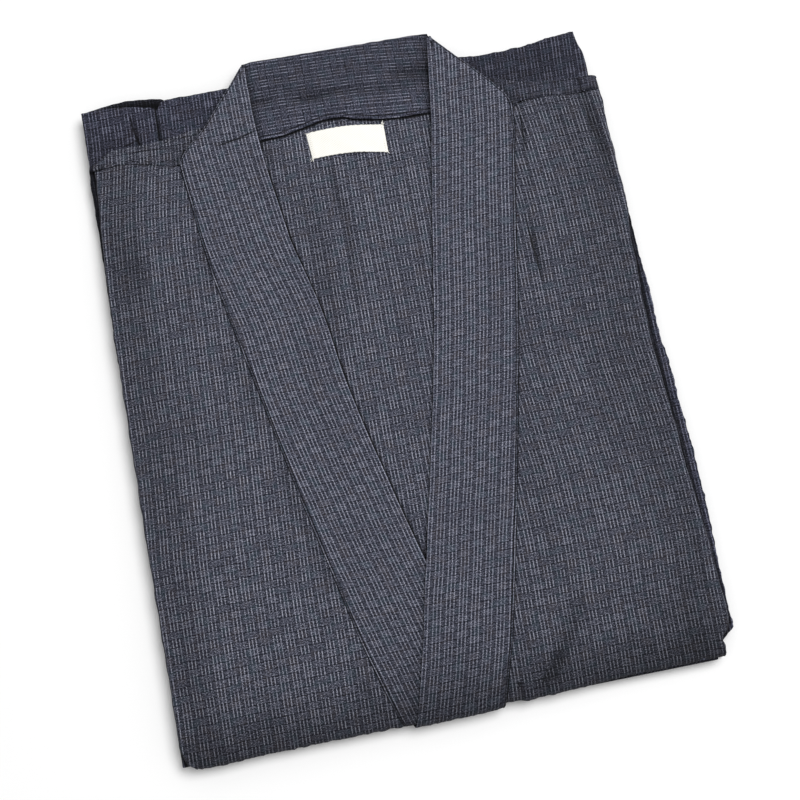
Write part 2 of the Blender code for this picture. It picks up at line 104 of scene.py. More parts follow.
# Side folds of the fronts: run, x.
FRONT_RIGHT_SIDE = (
    (200, -165.7), (188, -165.9), (171, -166.7), (143, -168.4), (115, -169.6), (75, -170.5), (35, -170.8),
    (-43, -171.3), (-107, -171.5), (-168, -171.7), (-184, -171.5), (-189.5, -170.2), (-194, -168.2),
    (-199, -165.2), (-212, -164),
)
FRONT_LEFT_SIDE = (
    (192, 172.2), (107, 172.4), (80, 170), (45, 168.2), (7, 167), (-42, 169.2), (-76, 169.8), (-110, 171.8),
    (-160, 173.2), (-172, 173.4), (-180, 171.8), (-186.5, 167), (-190, 167.9), (-194, 167.2), (-212, 165.8),
)
# How far the turn at the lower end lies off its straight line: x, shift of y.
TURN_DRIFT = (
    (-171, -2.3), (-150, -2.2), (-127, -1.1), (-40, -0.9), (10, -0.3), (33, 0.7), (42, -0.2), (60, 0.3),
    (112, 2.3), (150, 2.4), (168, 1.2),
)
# Painted shade: how dim the cloth is as it sinks to the turn, by run, and to a side fold, by distance.
TURN_DIM = (
    (-212, 0.41), (-199, 0.43), (-189, 0.5), (-182.6, 0.62), (-173.8, 0.76), (-167.5, 0.84), (-152, 0.93),
    (-100, 1),
)
RIGHT_RIM_DIM = ((0, 0.76), (20, 0.78), (32, 0.96), (46, 1))
LEFT_RIM_DIM = ((0, 0.84), (6, 0.72), (19, 0.74), (34, 0.86), (60, 0.93), (110, 0.96))
# Shoulder seams and the upper edges of the strips above them: x, seam run, upper run.
SHOULDER_RIGHT_EDGES = (
    (-166.3, 189.4, 192), (-150, 190, 201.4), (-131, 187, 201.2), (-112, 182.3, 203), (-92, 181.6, 206),
)
SHOULDER_LEFT_EDGES = (
    (98, 179, 205), (113, 179.6, 200), (119, 183, 198), (131, 183.2, 195.6), (149, 181.2, 193.4),
    (172, 181.9, 192.5),
)
SHOULDER_RUN = 183
STRIP_WIDTH = 24  # of a shoulder strip's cloth, by which its edges are rounded
STRIP_LEAST = 2.2  # least width that shows
# Right sleeve above its shoulder: x, upper run of the near leaf, upper run of the far leaf.
SLEEVE_RIGHT_EDGES = (
    (-167.6, 231.8, 232.2), (-155, 231.6, 234.6), (-148, 231.4, 235.4), (-141, 230.8, 236),
    (-134, 229.8, 235.8), (-127.7, 228.4, 235.2), (-121.2, 226.2, 234.2), (-118.6, 224.6, 233.8),
    (-115.6, 229, 233.4), (-110.6, 230.6, 230.4), (-90, 230.6, 229.8), (-62, 230.4, 229.8),
)
# Left sleeve above its shoulder: x, run of its upper fold.
SLEEVE_LEFT_EDGE = (
    (73, 224.6), (104, 221.4), (128, 222.4), (150, 225.4), (163.6, 226.4),
)
# The left sleeve's outer edge: run, x.
SLEEVE_LEFT_SIDE = (
    (190.6, 167), (201, 167.4), (208, 167.2), (217.6, 165), (226.4, 163.9),
)
SLEEVE_RIGHT_X = -168.3
SLEEVE_LOW_RUN = 190.6
SLEEVE_UPPER_RUN = 234
SLEEVE_TOP = 3.4
SLEEVE_DROOP = 1.2
SLEEVE_DEPTH = 3.2
# Neck stretch of the collar: x, lower run.
NECK_LOWER_EDGE = (
    (-60.5, 189.2), (-45, 189.3), (-36.5, 190.1), (-25.5, 192.4), (-18, 193.8), (-11, 195.2), (2, 194.5),
    (7.6, 192.3), (29.7, 188), (43, 187), (54, 187), (71, 186.8),
)
NECK_UPPER_RUN = (245.8, 243.5)

LABEL_WIDTH = 49.8
LABEL_HEIGHT = 19
LABEL_MIDDLE = (1, 176.9)
LABEL_TURN = math.radians(-4.8)


# ---- curves and noise

def mix(start, end, share):
    """The value that lies a share of the way from start to end."""
    return start + (end - start) * share


def soft_step(start, end, value):
    """0 before start, 1 after end, and the cubic 3t^2 - 2t^3 between them."""
    t = np.clip((np.asarray(value, float) - start) / (end - start), 0, 1)
    return t * t * (3 - 2 * t)


def ease(first, last, start, end, value):
    """first before start, last after end, and a soft step between them."""
    return mix(first, last, soft_step(start, end, value))


def read_table(table, key, column):
    """A smooth curve through one column of a table, read at every value of key.

    Between two rows it is a cubic whose end slopes are the harmonic means of the
    neighbouring chords, so it never overshoots a row; outside the rows it is level.
    """
    rows = np.array(sorted(table), float)
    places, values = rows[:, 0], rows[:, column]
    spans = np.diff(places)
    chords = np.diff(values) / spans
    product, total = chords[:-1] * chords[1:], chords[:-1] + chords[1:]
    same_way = product > 0
    inner = np.where(same_way, 2 * product / np.where(same_way, total, 1), 0)
    slopes = np.concatenate((chords[:1], inner, chords[-1:]))
    key = np.clip(np.asarray(key, float), places[0], places[-1])
    here = np.clip(np.searchsorted(places, key, side="right") - 1, 0, len(spans) - 1)
    t = (key - places[here]) / spans[here]
    return (
        (2 * t**3 - 3 * t**2 + 1) * values[here]
        + (t**3 - 2 * t**2 + t) * spans[here] * slopes[here]
        + (3 * t**2 - 2 * t**3) * values[here + 1]
        + (t**3 - t**2) * spans[here] * slopes[here + 1]
    )


def ripple(seed, x, y, wavelength, stretch=1):
    """Smooth unevenness of about -1 to 1: a sum of plane waves with seeded directions.

    Each wave is a sine of a length near the wavelength; stretch over 1 makes the swells
    longer along y than across x.
    """
    draw = np.random.default_rng(seed)
    total = np.zeros(np.broadcast(x, y).shape)
    for _ in range(RIPPLE_WAVES):
        angle = draw.uniform(0, math.pi)
        pitch = wavelength * draw.uniform(0.65, 1.5)
        phase = draw.uniform(0, 2 * math.pi)
        along = x * math.cos(angle) + y * math.sin(angle) / stretch
        total = total + np.sin(2 * math.pi * along / pitch + phase)
    return total / math.sqrt(RIPPLE_WAVES) / RIPPLE_PEAK


def by_line(x, run, x_0, run_0, x_1, run_1, bow):
    """Places by a line bowed by half a sine: share along it, distance off it, and the sine."""
    length = math.hypot(x_1 - x_0, run_1 - run_0)
    away_x, away_run = (x_1 - x_0) / length, (run_1 - run_0) / length
    along = ((x - x_0) * away_x + (run - run_0) * away_run) / length
    arch = np.sin(math.pi * np.clip(along, 0, 1))
    return along, (x - x_0) * away_run - (run - run_0) * away_x - bow * arch, arch


def crease_height(creases, x, run):
    """Height of the listed creases: a trough where depth is over 0, else a ridge.

    Each row is a centreline's two ends, its bow, half width and depth. Across the line the
    form is a cosine bell, along it a sine, so it is deepest in the middle and fades out.
    """
    height = np.zeros(np.broadcast(x, run).shape)
    for *centreline, half_width, depth in creases:
        _, across, arch = by_line(x, run, *centreline)
        height -= groove(across, 0, half_width, depth) * arch**0.7
    return height


def hollow_shade(relief):
    """How light the cloth is down in a crease, whose sides keep the light off."""
    return 1 - HOLLOW_DIM * np.clip(-relief, 0, HOLLOW_DEEPEST)


def nearest_line(lines, x, run, line=FAR):
    """Signed distance to the nearest of some sharp folds, or to line where that is nearer.

    Each row is a centreline's two ends, its bow, the share of its length it fades over and
    its width, by which the distance is divided. The distance grows towards the ends and past
    them, so that the fold's shadow tapers off.
    """
    line = line + np.zeros(np.broadcast(x, run).shape)
    for *centreline, fade, width in lines:
        along, across, _ = by_line(x, run, *centreline)
        taper = soft_step(-0.02, fade, along) * soft_step(1.02, 1 - fade, along)
        across = across / np.maximum(taper, 0.03) / width
        line = np.where(np.abs(across) < np.abs(line), across, line)
    return line


def edge_drop(distance, radius):
    """How far a rounded edge falls at a distance inside it: a quarter circle's drop."""
    inward = np.clip(1 - distance / radius, 0, 1)
    return radius * (1 - np.sqrt(1 - inward**2))


def groove(distance, place, half_width, depth):
    """A seam's groove: a cosine bell cut at a given distance from an edge."""
    near = np.clip(np.abs(distance - place) / half_width, 0, 1)
    return depth * (0.5 + 0.5 * np.cos(math.pi * near))


def settle(distance, reach, depth):
    """How far cloth sinks towards an edge: depth times (1 - distance / reach) squared."""
    return depth * np.clip(1 - distance / reach, 0, 1) ** 2


# ---- places on the strip

def strip_point(x, run, level):
    """Points of the upper third: flat above TURN_RUN, then round the turn's half circle."""
    angle = np.maximum(TURN_RUN - run, 0) / TURN_RADIUS
    y = np.where(run >= TURN_RUN, run, TURN_RUN - level * np.sin(angle))
    y = y + read_table(TURN_DRIFT, x, 1) * soft_step(-110, TURN_RUN, run)
    z = FOLD_LEVEL + level * np.cos(angle)
    return np.stack(np.broadcast_arrays(x, y, z), axis=-1)


def edge_steps(radius, reach, spacing):
    """Distances in from an edge: close together on its rounding, then growing to spacing."""
    steps = [radius * (1 - math.cos(angle)) for angle in np.radians((0, 25, 45, 62, 77, 90))]
    gap = steps[-1] - steps[-2]
    while steps[-1] < reach:
        gap = min(gap * 1.35, spacing)
        steps.append(steps[-1] + gap)
    return np.array(steps)


def between_edges(low, high, low_steps, high_steps, count):
    """Values from low to high: fixed steps in from both ends, and an even fill between."""
    low, high = (np.asarray(end, float)[..., None] for end in (low, high))
    first, last = low + low_steps[-1], high - high_steps[-1]
    fill = first + (last - first) * np.linspace(0, 1, count + 1)[1:-1]
    return np.concatenate((low + low_steps, fill, high - high_steps[::-1]), axis=-1)


def collar_level(run):
    """Top of a collar stretch: it climbs onto the shoulder and comes down to the neck."""
    lift = SHOULDER_LIFT * soft_step(*SHOULDER_RISE, run) * ease(1, -0.1, *TIP_FALL, run)
    return COLLAR_TOP + lift - neck_droop(run)


def turn_sink(run):
    """How far the upper third has sunk towards the turn at its lower end."""
    return settle(np.abs(run - TURN_RUN), TURN_REACH, TURN_SINK)


def neck_droop(run):
    """How far the neck end of the bundle has sunk at a run."""
    return NECK_DROP * soft_step(*NECK_FALL, run)


def sleeve_level(run):
    """Top of a sleeve's near leaf, which droops to its upper edge."""
    return SLEEVE_TOP - SLEEVE_DROOP * soft_step(SLEEVE_LOW_RUN, SLEEVE_UPPER_RUN, run)


def inside_collars(x, run, edge=1):
    """Distances in from the under and the over collar's inner edge, or outer edge if 2."""
    return x - read_table(COLLAR_RIGHT_EDGES, run, edge), read_table(COLLAR_LEFT_EDGES, run, edge) - x


# ---- meshes

def put(name, data):
    """A new object in the scene with this data."""
    thing = bpy.data.objects.new(name, data)
    bpy.context.scene.collection.objects.link(thing)
    return thing


def cloth_mesh(
    name, points, weave_uv, material, shade=1.0, line=FAR, wall=CLOTH_WALL, closed=False, strip_rows=0
):
    """A grid of points as a mesh, with its place on the loom as a UV map in metres.

    points is rows by columns by 3. A face's outer side is on the left of growing column when
    row grows. shade is painted light and shade, by which the colour is multiplied: under 1
    where neighbouring folds would keep the light off, and over 1 for a painted highlight along
    a fold or an edge. line is the distance in mm to the nearest sharp fold or seam, which the
    cloth shows as a painted thin shadow. closed joins the last column to the first and merges
    points that meet, and strip_rows cuts the grid into strips of that many rows.
    """
    rows, columns = points.shape[:2]
    index = np.arange(rows * columns).reshape(rows, columns)
    if closed:
        index = np.concatenate((index, index[:, :1]), axis=1)
    faces = np.stack((index[:-1, :-1], index[:-1, 1:], index[1:, 1:], index[1:, :-1]), axis=-1)
    if strip_rows:
        faces = faces[np.arange(rows - 1) % strip_rows != strip_rows - 1]
    faces = faces.reshape(-1, 4)
    place = (points - (CENTRE_X, CENTRE_Y, 0)) * MM
    mesh = bpy.data.meshes.new(name)
    mesh.vertices.add(rows * columns)
    mesh.vertices.foreach_set("co", place.ravel())
    mesh.loops.add(faces.size)
    mesh.loops.foreach_set("vertex_index", faces.ravel())
    mesh.polygons.add(len(faces))
    mesh.polygons.foreach_set("loop_start", np.arange(0, faces.size, 4))
    mesh.polygons.foreach_set("loop_total", np.full(len(faces), 4))
    mesh.update(calc_edges=True)
    loom = mesh.uv_layers.new(name="weave")
    loom.data.foreach_set("uv", (weave_uv.reshape(-1, 2) * MM)[faces.ravel()].ravel())
    for attribute, values in (("shade", shade), ("line", line)):
        layer = mesh.attributes.new(attribute, "FLOAT", "POINT")
        layer.data.foreach_set("value", np.broadcast_to(values, (rows, columns)).ravel())
    mesh.shade_smooth()
    mesh.materials.append(material)
    piece = put(name, mesh)
    if wall:
        thicken = piece.modifiers.new("Wall", "SOLIDIFY")
        thicken.thickness = wall * MM
        thicken.offset = -1
    if closed:
        piece.modifiers.new("Ends", "WELD").merge_threshold = MERGE_WITHIN
    return piece


def dress(piece, node=""):
    """The piece rides on the one body and stands for its node."""
    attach(piece, "root")
    if node:
        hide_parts(node)


# ---- the fronts

# Creases in the fronts: x and run at each end, bow, half width, depth (a ridge below 0).
FRONT_LEFT_CREASES = (
    (105.4, 107, 107, 53, -1, 3.2, 1.3), (101.4, 108, 103.2, 50, -1, 3.4, -0.7),
    (111, 100, 112, 60, -1, 5, -0.35), (116.4, 181, 113.6, 142, -0.6, 2.8, 1.5),
    (121, 176, 117, 140, -0.5, 3, -0.4), (113, 150, 109, 104, -1, 3, 0.5),
    (125.7, 129, 129.6, 103, 0.3, 2.4, 0.7), (92, 39.4, 103, 37.4, 0.2, 1.2, -0.4),
    (158.6, 192, 167.4, 104, -1, 5.2, 1.7), (165, 188, 171.2, 108, -1, 2.8, -0.7),
    (150, 180, 156, 90, -1, 9, -0.35), (140, 178, 142, 130, 0, 8, 0.4), (124, 172, 140, 108, 3, 12, -0.4),
    (150, 100, 158, -20, 3, 10, -0.35), (126, 60, 132, -60, 2, 14, 0.35),
    (104, -20, 98, -120, -2, 12, -0.35), (80, -10, 72, -130, -1, 5, 0.5),
    (161.5, -60, 164.5, -176, 0, 3.6, 0.7), (108, -120, 122, -194, 2, 12, -0.5),
    (45, -203, 89, -138, 3, 9.5, 1.3), (50, -196, 68, -170, -2, 7, 0.5), (56, -206, 100, -138, 2, 7, -0.6),
    (36, -190, 76, -134, 0, 7, -0.5), (112.5, -164, 110.4, -184, 0, 2.6, 1.2),
    (122, -150, 150, -176, 1, 13, 0.7), (38.6, -184, 38, -205, 0, 2.4, 1.2),
    (44.5, -184, 45, -205, 0, 4, -0.7), (150, -140, 152, -204, 1, 9, 0.6),
    (120, -60, 146, -62, 2, 9, -0.25), (76, -88, 108, -96, 2, 7, 0.25),
)
FRONT_RIGHT_CREASES = (
    (-140, 178, -128, 70, 3, 14, -0.4), (-158, 160, -151, 92, 1, 15, 0.65),
    (-144, 148, -148, 104, 1, 10, 0.4), (-138, 136, -116, 78, 1, 12, 0.5),
    (-118, 20, -104, -130, -4, 16, -0.5), (-134, 60, -124, -70, 4, 11, 0.4),
    (-152, -60, -146, -185, 2, 10, -0.4), (-108, 168, -101, 90, 1, 5, 0.45), (-98, 60, -86, -10, 1, 6, 0.6),
    (-84, -10, -60, -120, 2, 5, 0.9), (-160, -120, -156, -200, 1, 7, 0.5),
    (-84, -110, -76, -196, 2, 9, -0.4), (-120, -150, -112, -200, 1, 8, 0.5),
    (-62, -150, -44, -200, 1, 6, 0.7), (-150, 20, -116, 12, 2, 8, 0.2),
)
# Sharp folds in the fronts, drawn only as painted thin shadows; columns as in nearest_line.
FRONT_LEFT_LINES = (
    (104.8, 106, 106.4, 55, 0, 0.4, 1.9), (116.6, 181, 113.8, 146, -0.6, 0.5, 1.2),
)
# Tangent of the warp's lean off the run's direction: run, towards the wearer's left going up.
GRAIN_RIGHT = (
    (-174, 0.03), (-140, 0.02), (-90, 0.04), (-40, 0.07), (14, 0.035), (90, 0.04), (134, 0.08), (168, 0.2),
)
GRAIN_LEFT = (
    (-155, 0.04), (-125, 0.06), (-105, 0), (-75, -0.03), (-50, -0.07), (-5, -0.08), (25, 0), (45, 0.04),
    (90, 0), (125, -0.035), (158, -0.085),
)
GRAIN_BACK = ((-120, 0), (60, 0.02))
GRAIN_SLEEVE_RIGHT = ((190, 0.10), (215, 0.02))
GRAIN_SLEEVE_LEFT = ((190, 0.07), (225, 0.07))


def warp_shift(grain, run):
    """How far the warp has drifted sideways at a run: the running total of its lean."""
    places = np.linspace(-220, 250, 471)
    return np.interp(run, places, np.cumsum(read_table(grain, places, 1)))


def front_panel(
    name, side, collar_edges, side_table, shoulder_edges, creases, lines, grain, rim_dim, material
):
    """One front, from under its collar over its flat, round the side fold and the turn.

    side is -1 for the wearer's right and 1 for the left. Columns start under the collar and
    rows under the shoulder strip, where both tucks dip below the seam. Each column's run falls
    from the shoulder seam to the turn, and x lies between the seam and the side fold there.
    """
    tuck = (-3, -1.2)
    seam_steps = np.concatenate((tuck, edge_steps(0.9, 5, 1.6)))
    shoulder_steps = np.concatenate((tuck, edge_steps(0.9, 5, 1.7)))
    flat_share = np.linspace(0, 1, 104)[1:]
    arc = np.radians(np.linspace(0, 180, 13))[1:]
    columns = len(seam_steps) + len(flat_share)
    top_share = np.concatenate((np.zeros(len(seam_steps)), flat_share, np.ones(len(arc) + 1)))
    top_ends = read_table(collar_edges, SHOULDER_RUN, 2), read_table(side_table, SHOULDER_RUN, 1)
    seam_run = read_table(shoulder_edges, mix(*top_ends, top_share), 1)
    run = np.concatenate((
        seam_run - shoulder_steps[:, None],
        mix(seam_run - shoulder_steps[-1], TURN_RUN, np.linspace(0, 1, 222)[1:, None]),
        TURN_RUN - np.linspace(0, math.pi, 19)[1:, None] * TURN_RADIUS + 0 * seam_run,
    ))
    below_seam = seam_run - run

    wander = 0.35 * ripple(11 + side, run, 0, 26) + 0.2 * ripple(31 + side, run, 0, 9)
    fold_x = read_table(side_table, run, 1) + side * (wander - SIDE_RADIUS)
    seam_x = read_table(collar_edges, run, 2)
    x = np.empty_like(run)
    near, flat_part = slice(0, len(seam_steps)), slice(len(seam_steps), columns)
    round_part = slice(columns, columns + len(arc))
    x[:, near] = seam_x[:, near] + side * seam_steps
    first = seam_x[:, flat_part] + side * seam_steps[-1]
    x[:, flat_part] = mix(first, fold_x[:, flat_part], flat_share)
    x[:, round_part] = fold_x[:, round_part] + side * SIDE_RADIUS * np.sin(arc)
    x[:, -1] = fold_x[:, -1] - side * SIDE_RETURN
    under = np.concatenate((np.zeros(columns), SIDE_RADIUS * (1 - np.cos(arc)), [2 * SIDE_RADIUS]))
    on_top = under == 0
    from_seam, from_fold = side * (x - seam_x), np.where(on_top, side * (fold_x - x), 0)

    relief = crease_height(creases, x, run)
    relief += 0.16 * ripple(3 + side, x, run, 34, 2) + 0.09 * ripple(5 + side, x, run, 11, 1.6)
    relief += 0.05 * ripple(7 + side, x, run, 4.6, 1.3)
    relief *= soft_step(0, 3, from_seam) * np.where(on_top, 1, 0.5)
    near_turn = soft_step(-184, -197, run) * on_top
    pucker = 0.34 * ripple(17 + side, x, 0.2 * run, 6.5) + 0.2 * ripple(19 + side, x, 0.3 * run, 3.2)
    level = FRONT_TOP - under + relief + near_turn * pucker
    level -= np.hypot(settle(from_fold, RIM_REACH, RIM_SINK), turn_sink(run) * on_top)
    for inside in (from_seam, below_seam):
        level -= edge_drop(np.maximum(inside, 0), 0.9) + 0.15 * np.maximum(-inside, 0)

    # Painted shade: darker down in creases, towards the side fold and the turn, beside the collar seam, below
    # the shoulder seam and on the side fold's rounded side. A painted highlight runs along the top of the
    # side fold.
    shade = hollow_shade(relief)
    shade *= read_table(rim_dim, from_fold, 1) * read_table(TURN_DIM, run, 1)
    shade *= ease(0.9, 1, 0, 4, from_seam) * ease(0.8, 1, 0, 1.6, below_seam)
    shade += (0.13 - 0.11 * side) * groove(from_fold, 0.75 + 0.15 * side, 1.6, 1) * on_top
    shade *= ease(1, 0.5 + 0.05 * side, 0.2 + 0.1 * side, 1.2 + 0.4 * side, under)
    # The wearer's left front is a little darker towards its lower end, and the right front a little lighter.
    shade *= 1 - 0.026 * side * soft_step(60, -60, run)
    # A painted thin shadow along the collar seam and along the listed sharp folds.
    line = nearest_line(lines, x, run, from_seam - 0.2)
    weave_uv = np.stack((x - warp_shift(grain, run) + side * under, run), axis=-1)
    up_rows = slice(None, None, -side)
    points = strip_point(x, run, level)[up_rows]
    return cloth_mesh(name, points, weave_uv[up_rows], material, shade[up_rows], line[up_rows])


# ---- the collar band

# Creases in the collar stretches, as in the fronts.
UNDER_COLLAR_CREASES = (
    (-86, 189.6, -55, 196.4, 0.8, 2.4, 1), (-86, 185.6, -56, 191.6, 0.8, 3, -0.5),
    (-74, 206, -58, 196, 1, 5, 0.5), (-62, 190, -55, 130, 0.8, 3, 0.4), (-86, 150, -74, 60, 1.5, 9, -0.3),
    (-58, 70, -44, -30, 1, 9, 0.3), (-92, 216, -70, 196, 1, 6, -0.3), (-40, -60, -24, -140, 1, 8, -0.3),
    (-6, -120, -4, -200, 0, 5, 0.9),
)
OVER_COLLAR_CREASES = (
    (76, 210, 100, 196, 1, 6, 0.35), (70, 160, 62, 60, 1, 10, -0.3), (88, 130, 74, 40, 1, 8, 0.3),
    (42, 20, 20, -90, -1, 9, -0.3), (60, -20, 42, -100, -1, 8, 0.3), (8, -150, 2, -200, 0, 8, 0.4),
)
# Sharp folds in the under collar, drawn only as painted thin shadows; columns as in nearest_line.
UNDER_COLLAR_LINES = ((-86, 189.6, -55, 196.4, 0.8, 0.25, 1.3),)
OUTER_GROOVE = (1.3, 0.7, 0.3)  # inside the outer edge: place, half width and depth
INNER_GROOVE = (3.4, 1.2, 0.12)
PRESSED_NARROWER = 0.96  # ironing spreads the collar's warp lines a little


def collar_stretch(name, edges, creases, lines, seed, lapped, material):
    """A collar band: two rounded edges, the flat between them, and the turn at its end.

    Columns go from the left edge to the right one. Rows go from the turn up to the neck, so
    that the outer side is up.
    """
    steps = edge_steps(0.75, 6, 1.2)
    top = max(row[0] for row in edges) - 2.2
    turn_end = TURN_RUN - math.radians(165) * TURN_RADIUS
    parts = np.linspace(turn_end, TURN_RUN, 17), np.linspace(TURN_RUN, 178, 262), np.linspace(178, top, 52)
    run = np.concatenate((parts[0][:-1], parts[1][:-1], parts[2]))
    edge_pair = read_table(edges, run, 1), read_table(edges, run, 2)
    wobble = 0.16 * ripple(seed, run, 0, 30) + 0.08 * ripple(seed + 1, run, 0, 8)
    left, right = np.minimum(*edge_pair) + wobble, np.maximum(*edge_pair) - wobble
    width = (right - left)[:, None]
    x = between_edges(left, right, steps, steps, 30)
    even = left[:, None] + width * np.linspace(0, 1, x.shape[1])
    x = mix(even, x, np.clip(width / 16, 0, 1))
    run = run[:, None] + 0 * x
    from_left, from_right = x - left[:, None], right[:, None] - x
    from_inner, from_outer = (from_left, from_right) if lapped else (from_right, from_left)
    beside_under, beside_over = inside_collars(x, run)
    level = collar_level(run)
    if lapped:
        level = level + LAP_RISE * (1 - soft_step(*LAP_RAMP, beside_under))
    else:
        level = level - LAP_PRESS * soft_step(LAP_REACH, 0, LAP_REACH - beside_over) * (run < 0)
    relief = crease_height(creases, x, run)
    relief += 0.12 * ripple(seed + 2, x, run, 30, 2.2) + 0.06 * ripple(seed + 3, x, run, 9, 1.5)
    relief += 0.035 * ripple(seed + 4, x, run, 4.2)
    calm = soft_step(0, 2.5, np.minimum(from_left, from_right))
    pucker = soft_step(-186, -198, run) * 0.25 * ripple(seed + 5, x, 0.2 * run, 5.5)
    level = level + (relief + pucker) * calm - turn_sink(run)
    level -= groove(from_outer, *OUTER_GROOVE) + groove(from_inner, *INNER_GROOVE)
    for distance in (from_left, from_right):
        level -= edge_drop(distance, 0.75)
    # Painted shade down in creases and towards the turn, and painted highlights along both folded edges and
    # beside the outer groove; the stretch is also a little darker towards its lower end.
    shade = hollow_shade(relief)
    shade += groove(from_inner, 0.8, 0.9, 0.35) + groove(from_outer, 2.4, 0.9, 0.25)
    shade += groove(from_outer, 0.4, 0.6, 0.2)
    shade *= read_table(TURN_DIM, run, 1) * ease(0.955, 1.01, -150, 60, run)
    # Painted shadow of the over collar on the under collar, beside its inner edge.
    if not lapped:
        shade *= ease(0.42, 1, -1, 1, beside_over / ease(9, 3, -190, -60, run)) ** (run < 20)
    # A painted thin shadow in the outer groove and along the listed sharp folds.
    line = nearest_line(lines, x, run, from_outer - OUTER_GROOVE[0])
    lean = read_table(edges, run, 1) - read_table(edges, -200, 1)
    weave_uv = np.stack(((x - lean) * PRESSED_NARROWER, run), axis=-1)
    return cloth_mesh(name, strip_point(x, run, level), weave_uv, material, shade, line, COLLAR_WALL)


# Creases in the neck stretch, as in the fronts.
NECK_CREASES = (
    (-57, 224, 14, 211, -2, 4.4, 0.9), (-36, 214, 4, 213, 1, 4.4, 1.8), (0, 214, 69, 208, 2, 4.6, 1.1),
    (36, 220, 74, 217, 1, 9.5, 1.9), (44, 232, 70, 230, 1, 4, 0.8), (-56, 206, 66, 198.5, -2, 5, -0.8),
    (-58, 238, 60, 233, 1, 6, -0.3), (9.4, 241, 8, 222, 0, 2.4, 0.8), (6.4, 214, 6.4, 194, 0, 2.4, 0.5),
    (-50, 232, -14, 227, 0.5, 3, 0.7), (-60, 218, -40, 216, 0.5, 6.5, 1.6),
    (-52, 211, -30, 205, 0.5, 2.8, 0.6), (12, 234, 34, 229, 1, 3.6, 0.6), (-20, 229, 2, 226, 1, 3, 0.6),
)


def neck_band(material):
    """The collar band's inner side round the back of the neck, sewn down at its lower edge.

    x runs across it; up runs from its lower edge to its upper fold. It sinks under both
    collar stretches, and its lower edge is rolled.
    """
    ends = (NECK_LOWER_EDGE[0][0], NECK_LOWER_EDGE[-1][0])
    x = np.linspace(*ends, 118)
    low = read_table(NECK_LOWER_EDGE, x, 1) + 0.15 * ripple(41, x, 0, 12)
    high = mix(*NECK_UPPER_RUN, np.linspace(0, 1, len(x))) + 0.15 * ripple(42, x, 0, 9)
    run = between_edges(low, high, edge_steps(0.8, 5, 1.1), edge_steps(1.1, 5, 1.1), 34).T
    left_end = np.maximum(ends[0], read_table(COLLAR_RIGHT_EDGES, run, 2) + 0.4)
    right_end = np.minimum(ends[1], read_table(COLLAR_LEFT_EDGES, run, 2) - 0.4)
    x = mix(left_end, right_end, (x - ends[0]) / (ends[1] - ends[0]))
    from_low, from_high = run - low, high - run
    beside_under, beside_over = inside_collars(x, run)
    level = COLLAR_TOP - neck_droop(run)
    level -= NECK_SINK * (soft_step(5, 0, beside_under) + soft_step(10, 0, beside_over))
    relief = crease_height(NECK_CREASES, x, run)
    relief += 0.14 * ripple(43, run, x, 22, 2) + 0.08 * ripple(44, x, run, 8)
    level += relief * soft_step(0, 2.5, from_low)
    level -= groove(from_low, 2.1, 0.6, 0.4) + groove(from_low, 3.8, 0.7, 0.2)
    level -= edge_drop(from_low, 0.8) + edge_drop(from_high, 1.1)
    # Painted shade down in creases, where the band dips under both collars and over its upper part, and a
    # painted highlight along its rolled lower edge.
    shade = hollow_shade(relief) + groove(from_low, 1, 0.9, 0.2)
    shade *= ease(0.4, 1, -3, 9, beside_over)
    shade *= ease(0.3, 1, -1, 4, beside_under)
    shade *= ease(0.84, 1, 214, 200, run)
    # line gives a painted thin shadow along the seam just above the lower edge.
    points, line = strip_point(x, run, level), from_low - 2.3
    weave_uv = np.stack((run + 0.06 * x + 0.0006 * x**2, -x), axis=-1)
    return cloth_mesh("collar_neck_cloth", points, weave_uv, material, shade, line, COLLAR_WALL)


# ---- back, shoulders, sleeves

BACK_CREASES = (
    (-13.4, 172, -10.8, 128, 1.4, 4.6, 1.2), (-10.2, 146, -13.6, 60, -0.8, 4.6, 1.2),
    (-4.6, 166, -4, 70, -1.6, 4.6, -0.7), (-20.6, 166, -20, 60, -1, 4.4, -0.4),
    (-32, 156, -30, 36, 0, 13, 0.8), (22, 160, 18, 30, -2, 10, -0.4), (36, 150, 24, 40, -1, 6, 0.4),
    (-46, 186, -36, 130, 1, 4, 0.5), (41.4, 176, 38.6, 156, 0, 2.6, -0.9), (-30, 164, 34, 158, 1.5, 5, 0.3),
)
BACK_SIDES = (-164, 161)
BACK_NECK_SIDES = (-59.6, 70)
BACK_NARROWING = (166, 184)


